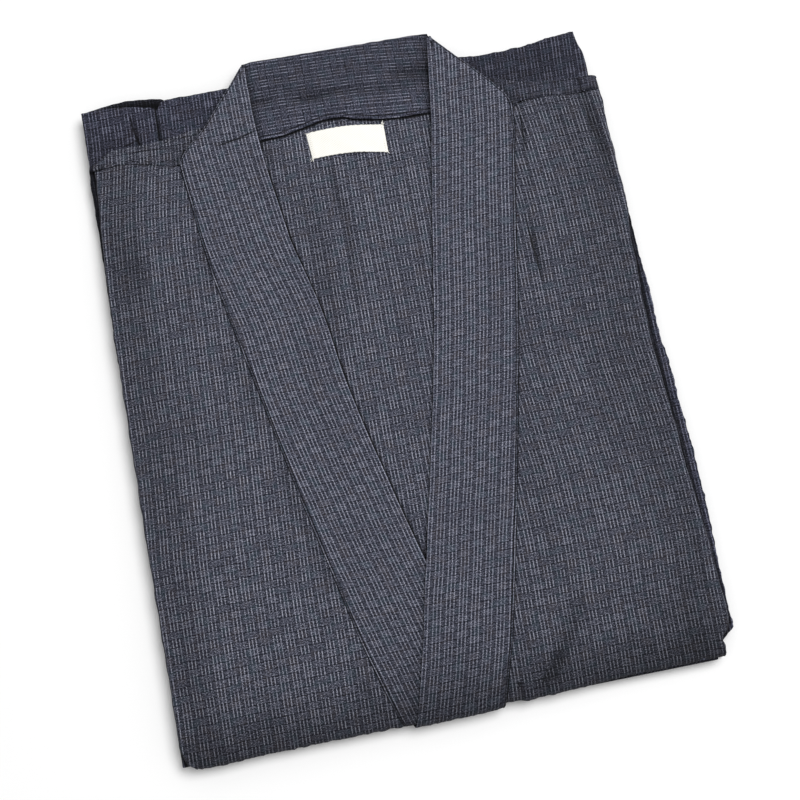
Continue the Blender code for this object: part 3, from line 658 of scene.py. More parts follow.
def back_panel(material):
    """The back's inner side, close-set where it shows inside the V and coarse elsewhere."""
    shown = np.linspace(0.31, 0.72, 108)
    share = np.concatenate((np.linspace(0, 0.31, 9)[:-1], shown, np.linspace(0.72, 1, 9)[1:]))
    run = np.concatenate((np.linspace(-189, -110, 14)[:-1], np.linspace(-110, 196.8, 232)))[:, None]
    narrowing = soft_step(*BACK_NARROWING, run)
    left, right = (mix(wide, narrow, narrowing) for wide, narrow in zip(BACK_SIDES, BACK_NECK_SIDES))
    x = mix(left, right, share)
    run = run + 0 * x
    relief = crease_height(BACK_CREASES, x, run)
    level = BACK_TOP + relief
    level += 0.18 * ripple(51, x, run, 30, 2) + 0.08 * ripple(52, x, run, 9) - 0.12
    weave_uv = np.stack((x - warp_shift(GRAIN_BACK, run), run), axis=-1)
    beside_under, beside_over = inside_collars(x, run)
    below_neck = read_table(NECK_LOWER_EDGE, x, 1) - run
    # Painted shadows beside both collars' inner edges and below the neck stretch, painted shade down in
    # creases, and painted thin shadows right beside the under collar and the neck stretch.
    shade = ease(0.3, 1.02, -1.5, 3, beside_over) * ease(0.25, 1, -1, 3.2, beside_under)
    shade *= ease(0.2, 1, -1, 2.4, below_neck) * hollow_shade(relief)
    line = np.maximum(np.minimum(beside_under, below_neck) - 0.8, 0)
    return cloth_mesh("back_panel_cloth", strip_point(x, run, level), weave_uv, material, shade, line, 0.8)


# Sharp folds and creases in the shoulder strips: the sharp folds drawn only as painted thin shadows, the
# creases in the surface.
SHOULDER_RIGHT_LINES = (
    (-147, 197.4, -106, 193.6, -1, 0.3, 0.8), (-105, 193.4, -108.4, 184.4, 0, 0.1, 1.8),
)
SHOULDER_LEFT_CREASES = (
    (160, 192, 159, 181, 0, 1.6, 0.5), (163.6, 192, 163, 181, 0, 2.4, -0.3),
    (104, 188, 118, 184.4, 0, 3.4, 0.8),
)
SHOULDER_LEFT_LINES = ((160.4, 193, 159.4, 180, 0, 0.1, 1.1),)


def shoulder_strip(name, edges, creases, lines, fall_start, lip, seed, dimness, material):
    """The strip above a shoulder seam, falling from the front's level to the sleeve's.

    x runs along the seam, up from the seam to the strip's upper edge.
    """
    low_steps, high_steps = edge_steps(0.8, 3, 1), edge_steps(0.6, 3, 1)
    x = np.linspace(edges[0][0], edges[-1][0], 60)
    low, high = read_table(edges, x, 1) + 0.1, read_table(edges, x, 2)
    low_share, high_share = low_steps / STRIP_WIDTH, 1 - high_steps[::-1] / STRIP_WIDTH
    up = np.concatenate((low_share, np.linspace(0.13, 0.87, 16), high_share))[:, None]
    run = low + np.maximum(high - low, STRIP_LEAST) * up
    x = x + 0 * run
    creased = crease_height(creases, x, run)
    level = ease(FRONT_TOP, sleeve_level(run) + lip, fall_start, 1, up)
    level += creased + 0.1 * ripple(seed, x, run, 9)
    level -= edge_drop(run - low, 0.8) + edge_drop(high - run, 0.6)
    level -= 0.07 * np.maximum(np.abs(x) - SLEEVE_LEFT_SIDE[0][1] + 1, 0) ** 2
    weave_uv = np.stack((x - warp_shift(GRAIN_SLEEVE_RIGHT, run), run), axis=-1)
    inside_under, inside_over = inside_collars(x, run, 2)
    beside = -np.where(x > 0, inside_over, inside_under)
    # Painted shade: the whole strip dimmed by dimness, darker down in its creases and beside the collar's
    # outer edge, and painted thin shadows along its sharp folds.
    shade = dimness * hollow_shade(creased) * ease(0.62, 1, 0, 8, beside)
    line = nearest_line(lines, x, run)
    return cloth_mesh(name, strip_point(x, run, level), weave_uv, material, shade, line)


# Pleats pressed into the right sleeve: x at the foot, x at the mouth, half width, depth.
SLEEVE_PLEATS = (
    (-132.8, -136, 2, 1.6), (-119.6, -119.6, 2.8, 2.2),
)
# Sharp folds in the right sleeve, drawn only as painted thin shadows; columns as in nearest_line.
SLEEVE_RIGHT_LINES = (
    (-136.4, 226, -135.4, 208, 0.4, 0.3, 1.2), (-135.6, 211, -131.6, 199, 0.5, 0.2, 1.8),
    (-119.8, 228, -120.4, 201, 0, 0.1, 1.7), (-146, 202.6, -133.6, 205.6, 0, 0.4, 1.4),
)


def tube_path(near_rows, fold_rows, far_rows):
    """A sleeve's rows: 0 to 1 on the near leaf, to 2 round its fold, to 3 on the far leaf.

    With the path come its shares of the near leaf, of the fold and of the far leaf.
    """
    counts = enumerate((near_rows, fold_rows, far_rows))
    near, fold, far = (np.linspace(part, part + 1, count) for part, count in counts)
    path = np.concatenate((near, fold[1:], far[1:]))[:, None]
    return path, *(np.clip(path - part, 0, 1) for part in range(3))


def right_sleeve(material):
    """A flattened tube whose mouth is up: the near leaf, the foot's fold and the far leaf.

    path goes 0 to 1 down the near leaf, 1 to 2 round the foot and 2 to 3 up the far leaf.
    """
    radius = SLEEVE_DEPTH / 2
    path, down, round_foot, up_far = tube_path(44, 9, 12)
    x = between_edges(SLEEVE_RIGHT_X, -62, edge_steps(0.7, 4, 1.1), np.array([0, 2]), 96)
    near_top = read_table(SLEEVE_RIGHT_EDGES, x, 1) + 0.2 * ripple(61, x, 0, 7)
    far_top = read_table(SLEEVE_RIGHT_EDGES, x, 2) + 0.2 * ripple(62, x, 0, 7)
    low = SLEEVE_LOW_RUN + radius
    run = mix(near_top, low, down) - radius * np.sin(math.pi * round_foot)
    run = np.where(path > 2, mix(low, far_top, up_far), run)
    turn = 0.5 * (1 - np.cos(math.pi * round_foot))
    level = sleeve_level(np.maximum(run, SLEEVE_LOW_RUN)) - SLEEVE_DEPTH * turn
    near, up = path <= 1, 1 - down
    shade = np.ones(run.shape)
    # Each pleat is a trough with painted shade in it and a low ridge beside it, and the leaf sags between the
    # two.
    for foot_x, mouth_x, half_width, depth in SLEEVE_PLEATS:
        line = mix(foot_x, mouth_x, up)
        level -= near * groove(x, line, half_width, depth * soft_step(1, 0.5, up))
        level += near * groove(x, line - 3.4, 3, 0.6 * soft_step(0, 0.3, up))
        shade -= near * groove(x, line, half_width, 0.5 * soft_step(1.02, 0.6, up))
    level -= near * 0.5 * soft_step(-138, -134, x) * soft_step(-116, -120, x) * soft_step(0.3, 1, up)
    level += near * (0.22 * ripple(63, x, run, 13, 2) + 0.1 * ripple(64, x, run, 5))
    # Painted shadow along the under collar's outer edge.
    shade *= ease(0.4, 1, -2, 7, -inside_collars(x, run, 2)[0])
    # Inside the mouth the far leaf lies deep, and painted shade makes it dark; the whole far leaf has painted
    # shade, and the near leaf gets painted shade in its own hollows by the strip and at the pleats' feet.
    in_mouth = (path > 2) * soft_step(222, 226, run) * soft_step(-158, -150, x)
    level -= in_mouth * 2.2 * soft_step(0.2, 1.6, far_top - run)
    shade *= 1 - 0.9 * in_mouth * soft_step(-0.6, 0.6, far_top - run)
    shade *= np.where(path > 2, 0.6, 1)
    shade *= 1 - 0.28 * soft_step(220, 204, run) * soft_step(-124, -138, x)
    pocket = soft_step(204, 198, run) * near
    shade *= 1 - 0.5 * pocket * (groove(x, -133.6, 5, 1) + groove(x, -120, 4, 1))
    x = x + 0 * run
    level -= edge_drop(x - SLEEVE_RIGHT_X, 0.7) * near
    weave_uv = np.stack((x - warp_shift(GRAIN_SLEEVE_RIGHT, run), run + 4 * path), axis=-1)
    points = strip_point(x, run, level)[::-1]
    # Painted thin shadows along the near leaf's pleats and folds.
    line = nearest_line(SLEEVE_RIGHT_LINES, x, run + FAR * (path > 1))
    return cloth_mesh("sleeve_right_cloth", points, weave_uv[::-1], material, shade[::-1], line[::-1])


LEFT_SLEEVE_CREASES = (
    (84, 204, 150, 200, 0, 7, 0.8), (118, 214, 160, 208, 1, 6, 0.6), (112, 224, 108, 196, 0, 6, -0.3),
    (140, 226, 136, 200, 0, 4, 0.35), (152, 226, 156, 196, 0, 5, -0.4),
)


def left_sleeve(material):
    """A flattened tube whose fold is up: the near leaf, the fold and the far leaf."""
    radius = SLEEVE_DEPTH / 2
    path, up, over, back = tube_path(34, 11, 8)
    width = 91
    across = between_edges(0, width, np.array([0, 2]), edge_steps(0.7, 4, 1.1), 84) / width
    top_x = mix(SLEEVE_LEFT_EDGE[0][0], SLEEVE_LEFT_EDGE[-1][0], across)
    fold_run = read_table(SLEEVE_LEFT_EDGE, top_x, 1) - radius
    fold_run = fold_run + 0.3 * ripple(71, top_x, 0, 9) + 0.2 * ripple(72, top_x, 0, 4)
    run = mix(SLEEVE_LOW_RUN, fold_run, up) + radius * np.sin(math.pi * over)
    run = np.where(path > 2, mix(fold_run, SLEEVE_LOW_RUN, back), run)
    x = mix(SLEEVE_LEFT_EDGE[0][0], read_table(SLEEVE_LEFT_SIDE, run, 1), across)
    level = sleeve_level(np.minimum(run, fold_run)) - SLEEVE_DEPTH * 0.5 * (1 - np.cos(math.pi * over))
    near = path <= 1
    creased = near * crease_height(LEFT_SLEEVE_CREASES, x, run)
    level += creased + near * (0.2 * ripple(73, x, run, 12) + 0.1 * ripple(74, x, run, 5))
    level -= near * edge_drop((1 - across) * width, 0.7)
    # Painted shade: the sleeve dimmed all over, more beside the over collar's outer edge, and down in its
    # creases.
    shade = ease(0.55, 0.78, -2, 6, -inside_collars(x, run, 2)[1]) * hollow_shade(creased)
    weave_uv = np.stack((x - warp_shift(GRAIN_SLEEVE_LEFT, run), run + 4 * path), axis=-1)
    return cloth_mesh("sleeve_left_cloth", strip_point(x, run, level), weave_uv, material, shade)


# ---- hidden layers

# Side folds of the layers underneath: run, x on the wearer's right, x on the wearer's left.
HEM_SIDES = (
    (221, -168.6, 161), (180, -169, 169), (60, -170, 171.2), (-80, -169.4, 172.4), (-196, -168, 168),
)
MIDDLE_SIDES = (
    (223, -168.2, 161), (205, -169.4, 165.4), (181, -170, 171), (106, -170.6, 173), (60, -170.7, 173.6),
    (38, -170.8, 174.4), (12, -170.9, 174), (-4, -171, 175.4), (-34, -171.1, 176.2), (-73, -171.2, 177.4),
    (-107, -171.3, 177.4), (-137, -171.4, 176.2), (-157, -171.5, 175.8), (-170, -171.6, 175.5),
    (-179.4, -172.1, 176.2), (-182, -172.2, 172.4), (-186.5, -172.3, 166.8), (-190, -172.4, 163.4),
    (-197, -172, 161.4),
)
# Nested folds of the skirt: height in the hem third and in the middle third, inset, end runs.
SKIRT_FOLDS = (
    (0.78, 9.12, 0.2, -194, -196.8), (2.26, 7.64, 1.4, -195.6, -190.5), (3.72, 6.18, 0.5, -193.2, -191),
)
SKIRT_LEAF = 1.42  # thickness of each fold's two layers
SKIRT_TURN_RUN = 218.9  # where the skirt's fold over the hem third starts to turn


def flat_tube(left, right, half, columns, edge_columns):
    """A closed cross-section, flattened: its x and its height over the middle, per row.

    It goes along the top from left to right, round the right fold's half circle, back along
    the bottom and round the left fold.
    """
    steps = np.array([0, 0.8, 1.8, 3.2, 5, 7.5, 10.5])
    left, right = left + half, right - half
    top_x = between_edges(left, right, steps, steps, columns)
    arc = np.radians(np.linspace(90, -90, edge_columns + 1))[1:-1]
    left, right, half = (row[:, None] for row in (left, right, half))
    out = half * np.cos(arc)
    flat = np.ones(top_x.shape[1])
    rise = np.concatenate((flat, np.sin(arc), -flat, -np.sin(arc)))
    return np.concatenate((top_x, right + out, top_x[:, ::-1], left - out), axis=1), half * rise


def tube_points(x, height, y, z, facing):
    """Points of a flattened tube, from the height over its middle line, which lies at y and z.

    facing is the angle from up of the side that the height is measured to.
    """
    return np.stack((x, y + height * np.sin(facing), z + height * np.cos(facing)), axis=-1)


def skirt_fold(number, low_z, high_z, inset, hem_end, middle_end, material):
    """One fold of the skirt, two layers thick: along the hem third, round, and back.

    The middle line goes up the hem third at low_z, round a half circle at the top and down
    the middle third at high_z. The cross-section is a flattened tube, and both ends close in
    a rounded nose.
    """
    nose = SKIRT_LEAF / 2 * (1 - np.cos(np.radians(np.linspace(0, 90, 6))))
    radius = (high_z - low_z) / 2
    hem = np.concatenate((hem_end + nose, np.linspace(hem_end + nose[-1], SKIRT_TURN_RUN, 156)[1:]))
    turn = np.radians(np.linspace(0, 180, 17))[1:-1]
    middle = np.linspace(SKIRT_TURN_RUN, middle_end + nose[-1], 270)
    middle = np.concatenate((middle, middle_end + nose[::-1][1:]))
    y = np.concatenate((hem, SKIRT_TURN_RUN + radius * np.sin(turn), middle))
    z = np.concatenate((hem * 0 + low_z, mix(low_z, high_z, (1 - np.cos(turn)) / 2), middle * 0 + high_z))
    facing = np.concatenate((hem * 0 + math.pi, math.pi - turn, middle * 0))
    to_end = np.where(facing > 3, y - hem_end, FAR)
    to_end = np.minimum(to_end, np.where(facing < 0.1, y - middle_end, FAR))
    closing = np.sqrt(1 - np.clip(1 - to_end / (SKIRT_LEAF / 2), 0, 1) ** 2)
    half = SKIRT_LEAF / 2 * closing
    share = (1 - np.cos(facing)) / 2
    along = np.cumsum(np.hypot(np.diff(y, prepend=y[0]), np.diff(z, prepend=z[0])))
    seed = 80 + 7 * number
    left, right = (
        mix(read_table(MIDDLE_SIDES, y, side), read_table(HEM_SIDES, y, side), share) for side in (1, 2)
    )
    left = left + inset + 0.5 * ripple(seed, along, 0, 40) + 0.3 * ripple(seed + 1, along, 0, 11)
    right = right - inset - 0.25 * ripple(seed + 2, along, 0, 40) - 0.3 * ripple(seed + 3, along, 0, 9)
    right = right + 0.28 * ripple(seed + 4, along, 0, 4.4)
    left, right = left + 0.9 * (1 - closing), right - 0.9 * (1 - closing)
    x, height = flat_tube(left, right, half, 10, 6)
    y, z, along, half, share = (row[:, None] for row in (y, z, along, half, share))
    weave_uv = np.stack((x + 2 * (height < 0), along + 0 * x), axis=-1)[::-1]
    # Painted shade: the layers are dark under and just past the fronts' side folds and lighter further out,
    # the lower half of their rims gets painted light, and the turn and the hem third are brightened to make
    # up for the darker cotton they use.
    past_left, past_right = read_table(FRONT_RIGHT_SIDE, y, 1) - x, x - read_table(FRONT_LEFT_SIDE, y, 1)
    beyond = soft_step(0, 2.4, past_right - ease(0.6, 2, -140, -60, y)) + soft_step(3.2, 6, past_left)
    rise = height / np.maximum(half, 0.01)
    shade = np.maximum(mix(0.2, 1.1, beyond), 0.8 * soft_step(0.3, -0.3, rise))
    shade = mix(shade, 1.25, soft_step(0.05, 0.4, share))[::-1]
    points = tube_points(x, height, y, z, facing[:, None])[::-1]
    return cloth_mesh(f"skirt_fold_{number}", points, weave_uv, material, shade, wall=0, closed=True)


def inner_roll(material):
    """The layers inside the upper third, which turn under just inside the fronts."""
    half_depth = 0.9
    level = 11
    flat = np.linspace(182, TURN_RUN, 60)
    turn = np.radians(np.linspace(0, 180, 13))[1:]
    y = np.concatenate((flat, TURN_RUN - (level - FOLD_LEVEL) * np.sin(turn)))
    z = np.concatenate((flat * 0 + level, FOLD_LEVEL + (level - FOLD_LEVEL) * np.cos(turn)))
    half = np.full(len(y), half_depth)
    half[[0, -1]] = 0
    x, height = flat_tube(np.full(len(y), -160.0), read_table(FRONT_LEFT_SIDE, y, 1) - 7, half, 8, 4)
    y, z, facing = (row[:, None] for row in (y, z, np.concatenate((flat * 0, -turn))))
    weave_uv = np.stack((x, y + 0 * x), axis=-1)
    points = tube_points(x, height, y, z, facing)
    return cloth_mesh("inner_roll", points, weave_uv, material, wall=0, closed=True)


# ---- the label

def label_point(across, up, lift=0):
    """A point of the label: its shares of width and height, bowed up and off the back."""
    sag = 1.9 * np.cos(math.pi * across)
    along_x = across * LABEL_WIDTH * (1.02 + 0.027 * up)
    along_y = up * LABEL_HEIGHT * (1 + 0.08 * across) + sag
    x = LABEL_MIDDLE[0] + along_x * math.cos(LABEL_TURN) - along_y * math.sin(LABEL_TURN)
    x = x - 0.1 * up * LABEL_HEIGHT
    run = LABEL_MIDDLE[1] + along_x * math.sin(LABEL_TURN) + along_y * math.cos(LABEL_TURN)
    from_end = (0.5 - np.abs(across)) * LABEL_WIDTH
    level = BACK_TOP + 0.7 + 0.55 * np.cos(math.pi * across) ** 2 - 0.4 * soft_step(1.6, 0, from_end)
    level = level + 0.12 * ripple(91, x, run, 9) - 0.3 * soft_step(0.8, 0, np.abs(from_end - 1.5))
    return strip_point(x, run, level + lift), np.stack((along_x, along_y), axis=-1)


def neck_label(material):
    """A woven ribbon sewn down at its two ends, bowed off the back in its middle."""
    ragged = 0.35 / LABEL_HEIGHT
    across = np.linspace(-0.5, 0.5, 82)
    up = np.linspace(-0.5, 0.5, 30)[:, None]
    up = up * (1 + ragged * ripple(92, across * LABEL_WIDTH, 0, 2.4))
    across = across * (1 + 0.004 * ripple(93, up * LABEL_HEIGHT, 0, 2.4)) + 0 * up
    points, weave_uv = label_point(across, up)
    return cloth_mesh("neck_label_ribbon", points, weave_uv, material, wall=0.4)


# Places on the label as shares of its size: stitch holes, and both ends of the loose threads.
STITCH_HOLES = np.linspace(-0.46, 0.46, 12)
LOOSE_THREADS = [
    (-0.485, -0.46, -0.525, -0.6), (-0.49, -0.44, -0.54, -0.47), (0.485, 0.47, 0.5, 0.66),
    (-0.48, -0.48, -0.5, -0.62), (-0.49, -0.46, -0.545, -0.54), (0.49, 0.46, 0.515, 0.58),
    (0.48, -0.46, 0.515, -0.55), (-0.488, 0.47, -0.52, 0.53), (0.478, 0.48, 0.485, 0.61),
]


def label_stitches(material):
    """Two columns of short stitches through the label's ends, and loose ends at its corners.

    Each thread is a tube of eight sides round the half wave from one hole to the next.
    """
    rows = [(side * 0.47, hole, side * 0.47, hole + 0.05) for side in (-1, 1) for hole in STITCH_HOLES]
    start_x, start_up, end_x, end_up = np.array(rows + LOOSE_THREADS).T[:, :, None]
    share = np.linspace(0, 1, 7)
    lift = 0.06 + 0.28 * np.sin(math.pi * share)
    middle, _ = label_point(mix(start_x, end_x, share), mix(start_up, end_up, share), lift)
    turn = np.linspace(0, 2 * math.pi, 9)[:-1]
    ring = np.stack((np.cos(turn), -0.4 * np.sin(turn), 0.8 * np.sin(turn)), axis=-1)
    thick = np.array((0, 0.8, 1, 1, 1, 0.8, 0))[:, None, None]
    points = (middle[:, :, None, :] + 0.22 * thick * ring).reshape(-1, 8, 3)
    return cloth_mesh(
        "neck_label_stitches", points, points[..., :2], material, wall=0, closed=True, strip_rows=7
    )


# ---- materials

def linear(code):
    """An sRGB hex colour as linear red, green, blue and alpha."""
    parts = np.array([int(code[i : i + 2], 16) / 255.0 for i in (1, 3, 5)])
    low, high = parts / 12.92, ((parts + 0.055) / 1.055) ** 2.4
    return (*np.where(parts <= 0.04045, low, high).tolist(), 1)


def add(tree, kind, *sources, links=None, **settings):
    """A shader node with its settings, and its inputs linked to sockets or set to values.

    kind is the node's type, with its operation after a space where it has one. sources go to
    the first inputs in order, links to the inputs it names by place or name. A node given as
    a source stands for its first output.
    """
    kind, _, operation = kind.partition(" ")
    node = tree.nodes.new("ShaderNode" + kind)
    if operation:
        node.operation = operation
    for name, value in settings.items():
        setattr(node, name, value)
    for socket, source in {**dict(enumerate(sources)), **(links or {})}.items():
        if isinstance(source, bpy.types.Node):
            source = source.outputs[0]
        if isinstance(source, bpy.types.NodeSocket):
            tree.links.new(source, node.inputs[socket])
        else:
            node.inputs[socket].default_value = source
    return node


def surface(name, roughness, specular, sheen=0, sheen_roughness=0.5):
    """A new material, its node tree and its shader, with how it takes the light."""
    material = bpy.data.materials.new(name)
    material.use_nodes = True
    shader = material.node_tree.nodes["Principled BSDF"]
    sockets = ("Roughness", "Specular IOR Level", "Sheen Weight", "Sheen Roughness")
    for socket, value in zip(sockets, (roughness, specular, sheen, sheen_roughness)):
        shader.inputs[socket].default_value = value
    return material, material.node_tree, shader


def crimped_cotton(name, tone, contrast, carry, cool, uneven=1):
    """Navy crimped cotton: groups of three pale warp floats, each next group half a step on.

    The eye sees a fine checker of short pale stripes and dull, crumbly blocks, quite matt.
    tone scales the whole colour (the darker copies of this cotton use it for painted shade),
    contrast the pattern's strength, carry says how strongly the stripes go on through the
    blocks, cool scales the blue, and uneven says how much one stripe differs from the next.
    The loom's sizes are real ones, in metres.
    """
    group_width = 0.0077  # three floats and the gap to the next group
    group_length = 0.0096  # a float and the dull block that follows it
    lines_per_group = 3.5
    sway = 0.0014  # how far the warp and the weft wander
    yarn_pitch = 0.0006  # one crossing of warp and weft
    middle = 0.43  # lightness of the ground between dark gaps and pale floats
    gap = 0.38  # and of the gap between two groups
    material, tree, shader = surface(name, 0.9, 0.15, 0.04, 0.6)
    node = functools.partial(add, tree)
    smooth = {"interpolation_type": "SMOOTHSTEP"}

    # Clouds of 1/scale metres: the threads' sway, pale and dark patches, and the dye's tint.
    loom = node("UVMap", uv_map="weave")
    cloud = {"Vector": loom, "Roughness": 0.6}
    wander, patches, tint = (
        node("TexNoise", links={**cloud, "Scale": scale, "Detail": detail}, noise_dimensions="2D")
        for scale, detail in ((22, 1), (30, 2), (120, 1))
    )
    offset = node("VectorMath SUBTRACT", wander.outputs["Color"], (0.5, 0.5, 0.5))
    place = node("SeparateXYZ", node("VectorMath MULTIPLY_ADD", offset, (sway, sway, 0), loom)).outputs

    # Columns of groups, each half a row on from the last, and the lines of floats in them.
    column_place = node("Math DIVIDE", place[0], group_width)
    column = node("Math FLOOR", column_place)
    half_step = node("Math FRACT", node("Math MULTIPLY", column, 0.5))
    row_place = node("Math ADD", node("Math DIVIDE", place[1], group_length), half_step)
    row = node("Math FLOOR", row_place)
    from_middle = node("Math SUBTRACT", node("Math FRACT", column_place), 0.5)
    line_place = node("Math MULTIPLY", from_middle, lines_per_group)
    line_key = node("Math MULTIPLY_ADD", column, 7, node("Math ROUND", line_place))
    luck, group_luck = (
        node("SeparateColor", node("TexWhiteNoise", node("CombineXYZ", *key)).outputs["Color"]).outputs
        for key in ((line_key, row, 3), (column, row, 9))
    )

    # How much of a float, a thread or a tie lies at each place.
    in_group = node("MapRange", node("Math ABSOLUTE", line_place), 1.66, 1.44, **smooth)
    wave = node("Math COSINE", node("Math MULTIPLY", line_place, 2 * math.pi))
    thread = node("MapRange", wave, 0.1, 0.97, **smooth)
    in_row = node("Math FRACT", row_place)
    along = node("Math MULTIPLY_ADD", node("Math SUBTRACT", luck[0], 0.5), 0.1, in_row)
    from_float = node("Math ABSOLUTE", node("Math SUBTRACT", along, 0.26))
    float_share = node("MapRange", from_float, 0.3, 0.23, **smooth)
    in_half_row = node("Math FRACT", node("Math MULTIPLY_ADD", in_row, 2, 0.5))
    row_end = node("Math ABSOLUTE", node("Math SUBTRACT", in_half_row, 0.5))
    wide_tie, tight_tie = (
        node("MapRange", row_end, *ends, **smooth) for ends in ((0.3, 0.08), (0.1, 0.04))
    )
    tie = node("Math MULTIPLY_ADD", wide_tie, -0.3, node("Math MULTIPLY", tight_tie, 1.5))
    tie = node("Math MULTIPLY", tie, node("Math MULTIPLY_ADD", thread, -0.4, 1))
    crossing = node("VectorMath MULTIPLY", loom, (1 / yarn_pitch, 1 / yarn_pitch, 1))
    cell = node("VectorMath FLOOR", crossing)
    next_cell = node("VectorMath ADD", cell, (0, 1, 0))
    yarn = node("Math SUBTRACT", node("TexWhiteNoise", cell), node("TexWhiteNoise", next_cell))

    # Lightness of floats and blocks, then ties, single yarns, patches and contrast.
    group_bright = node("Math MULTIPLY_ADD", group_luck[0], 0.2 * uneven, 0.53 - 0.21 * uneven)
    bright = node("Math MULTIPLY_ADD", luck[1], 0.22 * uneven, group_bright)
    in_float = node("Math MULTIPLY_ADD", thread, bright, 0.25)
    block_luck = node("Math MULTIPLY_ADD", group_luck[1], 1.5 * uneven, 1.05 - 0.75 * uneven)
    in_block = node("Math MULTIPLY_ADD", thread, node("Math MULTIPLY", block_luck, carry), 0.385)
    floats = node("Mix", links={0: float_share, 2: in_block, 3: in_float})
    lightness = node("Mix", links={0: in_group, 2: gap, 3: floats})
    tie_depth = node("Math MULTIPLY_ADD", luck[2], -0.15, -0.15)
    lightness = node("Math MULTIPLY_ADD", tie, tie_depth, lightness)
    lightness = node("Math MULTIPLY_ADD", yarn, 0.42, lightness)
    lightness = node("Math MULTIPLY_ADD", node("Math SUBTRACT", patches, 0.5), 0.05, lightness)
    from_ground = node("Math SUBTRACT", lightness, middle)
    lightness = node("Math MULTIPLY_ADD", from_ground, contrast, middle)

    # Dye from dark gaps to rubbed floats, with faint teal and brown patches.
    dye = node("ValToRGB", lightness)
    stops = ((0.0, "#11131c"), (0.25, "#292b37"), (0.5, "#4c4e5b"), (0.75, "#747685"), (1.0, "#a3a5b2"))
    ramp_stops = dye.color_ramp.elements
    while len(ramp_stops) < len(stops):
        ramp_stops.new(0.5)
    for stop, (position, code) in zip(ramp_stops, stops):
        stop.position = position
        stop.color = linear(code)
    tinted = dye.outputs[0]
    for start, end, strength, code in ((0.56, 0.74, 0.18, "#37525c"), (0.44, 0.28, 0.14, "#554a45")):
        share = node("Math MULTIPLY", node("MapRange", tint, start, end, **smooth), strength)
        tinted = node("Mix", links={0: share, 6: tinted, 7: linear(code)}, data_type="RGBA").outputs[2]

    # Painted light and shade from the shade attribute, and a painted thin shadow along each sharp fold and
    # seam from the line attribute, both scaled by tone.
    line, shade = (node("Attribute", attribute_name=called).outputs["Fac"] for called in ("line", "shade"))
    by_fold = node("MapRange", node("Math ABSOLUTE", line), 0.65, 0.15, **smooth)
    thin_shadow = node("Math MULTIPLY_ADD", by_fold, -0.82, 1)
    dimmed = node("Math MULTIPLY", node("Math MULTIPLY", shade, tone), thin_shadow)
    cooled = node("VectorMath MULTIPLY", tinted, (1, 1, cool))
    shaded = node("VectorMath SCALE", cooled, links={"Scale": dimmed})
    tree.links.new(shaded.outputs[0], shader.inputs["Base Color"])
    bump = node("Bump", links={"Height": lightness, "Distance": 0.0004, "Strength": 0.5})
    tree.links.new(bump.outputs[0], shader.inputs["Normal"])
    return material


def woven_ribbon():
    """Ivory rayon ribbon in a fine twill: a soft, slightly shiny label with nothing on it."""
    material, tree, shader = surface("woven_ivory_ribbon", 0.5, 0.5, 0.1)
    loom = add(tree, "UVMap", uv_map="weave")
    twill = {"Vector": loom, "Scale": 420, "Distortion": 1.2}
    ribs = add(tree, "TexWave", links=twill, bands_direction="DIAGONAL").outputs[1]
    fleck = add(tree, "TexNoise", links={"Vector": loom, "Scale": 900, "Detail": 2})
    ivory = {0: ribs, 6: linear("#e8e5db"), 7: linear("#fdfcf8")}
    base = add(tree, "Mix", links=ivory, data_type="RGBA")
    tree.links.new(base.outputs[2], shader.inputs["Base Color"])
    height = add(tree, "Math MULTIPLY_ADD", ribs, 0.5, fleck)
    bump = add(tree, "Bump", links={"Height": height, "Distance": 0.00015, "Strength": 0.4})
    tree.links.new(bump.outputs[0], shader.inputs["Normal"])
    return material


def matt_white():
    """Seamless studio paper: white and quite matt, so that it only takes soft shadows."""
    material, _, shader = surface("studio_paper", 0.95, 0.1)
    shader.inputs["Base Color"].default_value = linear("#fafafa")
    return material


# ---- studio

def studio():
    """The paper floor, one big soft light overhead, a dim even surround, and the camera."""
    reach = 12.0
    mesh = bpy.data.meshes.new("floor")
    corners = ((-reach, -reach, 0), (reach, -reach, 0), (reach, reach, 0), (-reach, reach, 0))
    mesh.from_pydata(corners, [], [(0, 1, 2, 3)])
    mesh.materials.append(matt_white())
    floor = put("floor", mesh)
    floor.visible_diffuse = False

    world = bpy.data.worlds.new("surround")
    bpy.context.scene.world = world
    world.use_nodes = True
    sky, surround = world.node_tree, world.node_tree.nodes["Background"]
    up = add(sky, "SeparateXYZ", add(sky, "TexCoord").outputs["Generated"]).outputs[2]
    rising = {"Value": up, "From Min": -0.05, "From Max": 0.35, "To Min": 0.6}
    sky.links.new(add(sky, "MapRange", links=rising).outputs[0], surround.inputs["Color"])
    surround.inputs["Strength"].default_value = 0.52

    lamp = bpy.data.lights.new("overhead_softbox", "AREA")
    lamp.shape = "DISK"
    lamp.size = 2
    lamp.energy = 66
    softbox = put("overhead_softbox", lamp)
    softbox.location = (1.1, 0.5, 2.75)
    softbox.rotation_euler = (-softbox.location).to_track_quat("-Z", "Y").to_euler()

    level = math.cos(VIEW_ELEVATION)
    back = Vector((math.sin(VIEW_AZIMUTH) * level, -math.cos(VIEW_AZIMUTH) * level, math.sin(VIEW_ELEVATION)))
    target = Vector(VIEW_TARGET) - Vector((CENTRE_X, CENTRE_Y, 0))
    lens = bpy.data.cameras.new("camera")
    lens.lens = LENS
    lens.clip_start = 0.01
    camera = put("camera", lens)
    camera.location = (target + back * VIEW_DISTANCE) * MM
    camera.rotation_euler = (-back).to_track_quat("-Z", "Y").to_euler()
    bpy.context.scene.camera = camera
    bpy.context.scene.view_settings.view_transform = "Standard"


# ---- the whole robe

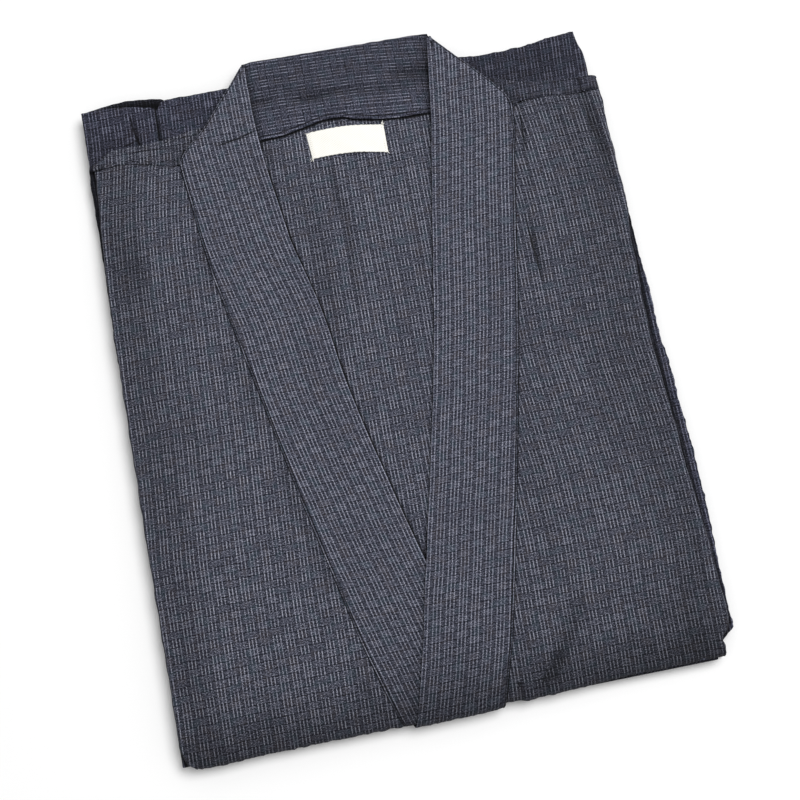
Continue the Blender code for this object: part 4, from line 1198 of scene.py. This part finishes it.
def main():
    """Make every piece, say what it stands for, and light it."""
    studio()
    # The third and fourth cottons are darker copies of the first, for painted shade on the neck stretch and
    # the wearer's left shoulder strip, and on the sleeves and the hidden layers.
    cotton = crimped_cotton("crimped_navy_cotton", 0.91, 1.13, 0.23, 1.005, 0.8)
    collar_cotton = crimped_cotton("pressed_collar_cotton", 0.955, 1, 0.33, 1.01, 0.4)
    shaded_neck_cotton = crimped_cotton("inner_collar_cotton_painted_shade", 0.795, 0.98, 0.18, 1.06)
    shaded_cotton = crimped_cotton("sleeve_cotton_painted_shade", 0.52, 1.02, 0.3, 1.13)
    ribbon = woven_ribbon()

    front_right = front_panel(
        "front_right_cloth", -1, COLLAR_RIGHT_EDGES, FRONT_RIGHT_SIDE, SHOULDER_RIGHT_EDGES,
        FRONT_RIGHT_CREASES, (), GRAIN_RIGHT, RIGHT_RIM_DIM, cotton,
    )
    front_left = front_panel(
        "front_left_cloth", 1, COLLAR_LEFT_EDGES, FRONT_LEFT_SIDE, SHOULDER_LEFT_EDGES,
        FRONT_LEFT_CREASES, FRONT_LEFT_LINES, GRAIN_LEFT, LEFT_RIM_DIM, cotton,
    )
    under = collar_stretch(
        "collar_cloth_right", COLLAR_RIGHT_EDGES, UNDER_COLLAR_CREASES, UNDER_COLLAR_LINES, 21, False,
        collar_cotton,
    )
    over = collar_stretch(
        "collar_cloth_left", COLLAR_LEFT_EDGES, OVER_COLLAR_CREASES, (), 27, True, collar_cotton
    )
    neck = neck_band(shaded_neck_cotton)
    back = back_panel(cotton)
    strip_right = shoulder_strip(
        "shoulder_right_cloth", SHOULDER_RIGHT_EDGES, (), SHOULDER_RIGHT_LINES, 0.25, 1.4, 65, 0.8, cotton
    )
    strip_left = shoulder_strip(
        "shoulder_left_cloth", SHOULDER_LEFT_EDGES, SHOULDER_LEFT_CREASES, SHOULDER_LEFT_LINES, 0.1, 0.4,
        66, 0.69, shaded_neck_cotton,
    )
    sleeve_right, sleeve_left = right_sleeve(shaded_cotton), left_sleeve(shaded_cotton)
    folds = [skirt_fold(number + 1, *row, shaded_cotton) for number, row in enumerate(SKIRT_FOLDS)]
    roll = inner_roll(shaded_cotton)
    label, stitches = neck_label(ribbon), label_stitches(ribbon)

    dress(front_right, "front_right")
    dress(front_left, "front_left")
    dress(under, "collar_right")
    dress(over, "collar_left")
    dress(neck, "collar_neck")
    dress(back, "back_panel")
    dress(strip_right, "shoulder_right")
    dress(strip_left, "shoulder_left")
    dress(sleeve_right, "sleeve_right")
    dress(sleeve_left, "sleeve_left")
    for fold in folds:
        dress(fold)
    dress(roll, "hidden_layers")
    dress(label, "neck_label")
    dress(stitches)


main()
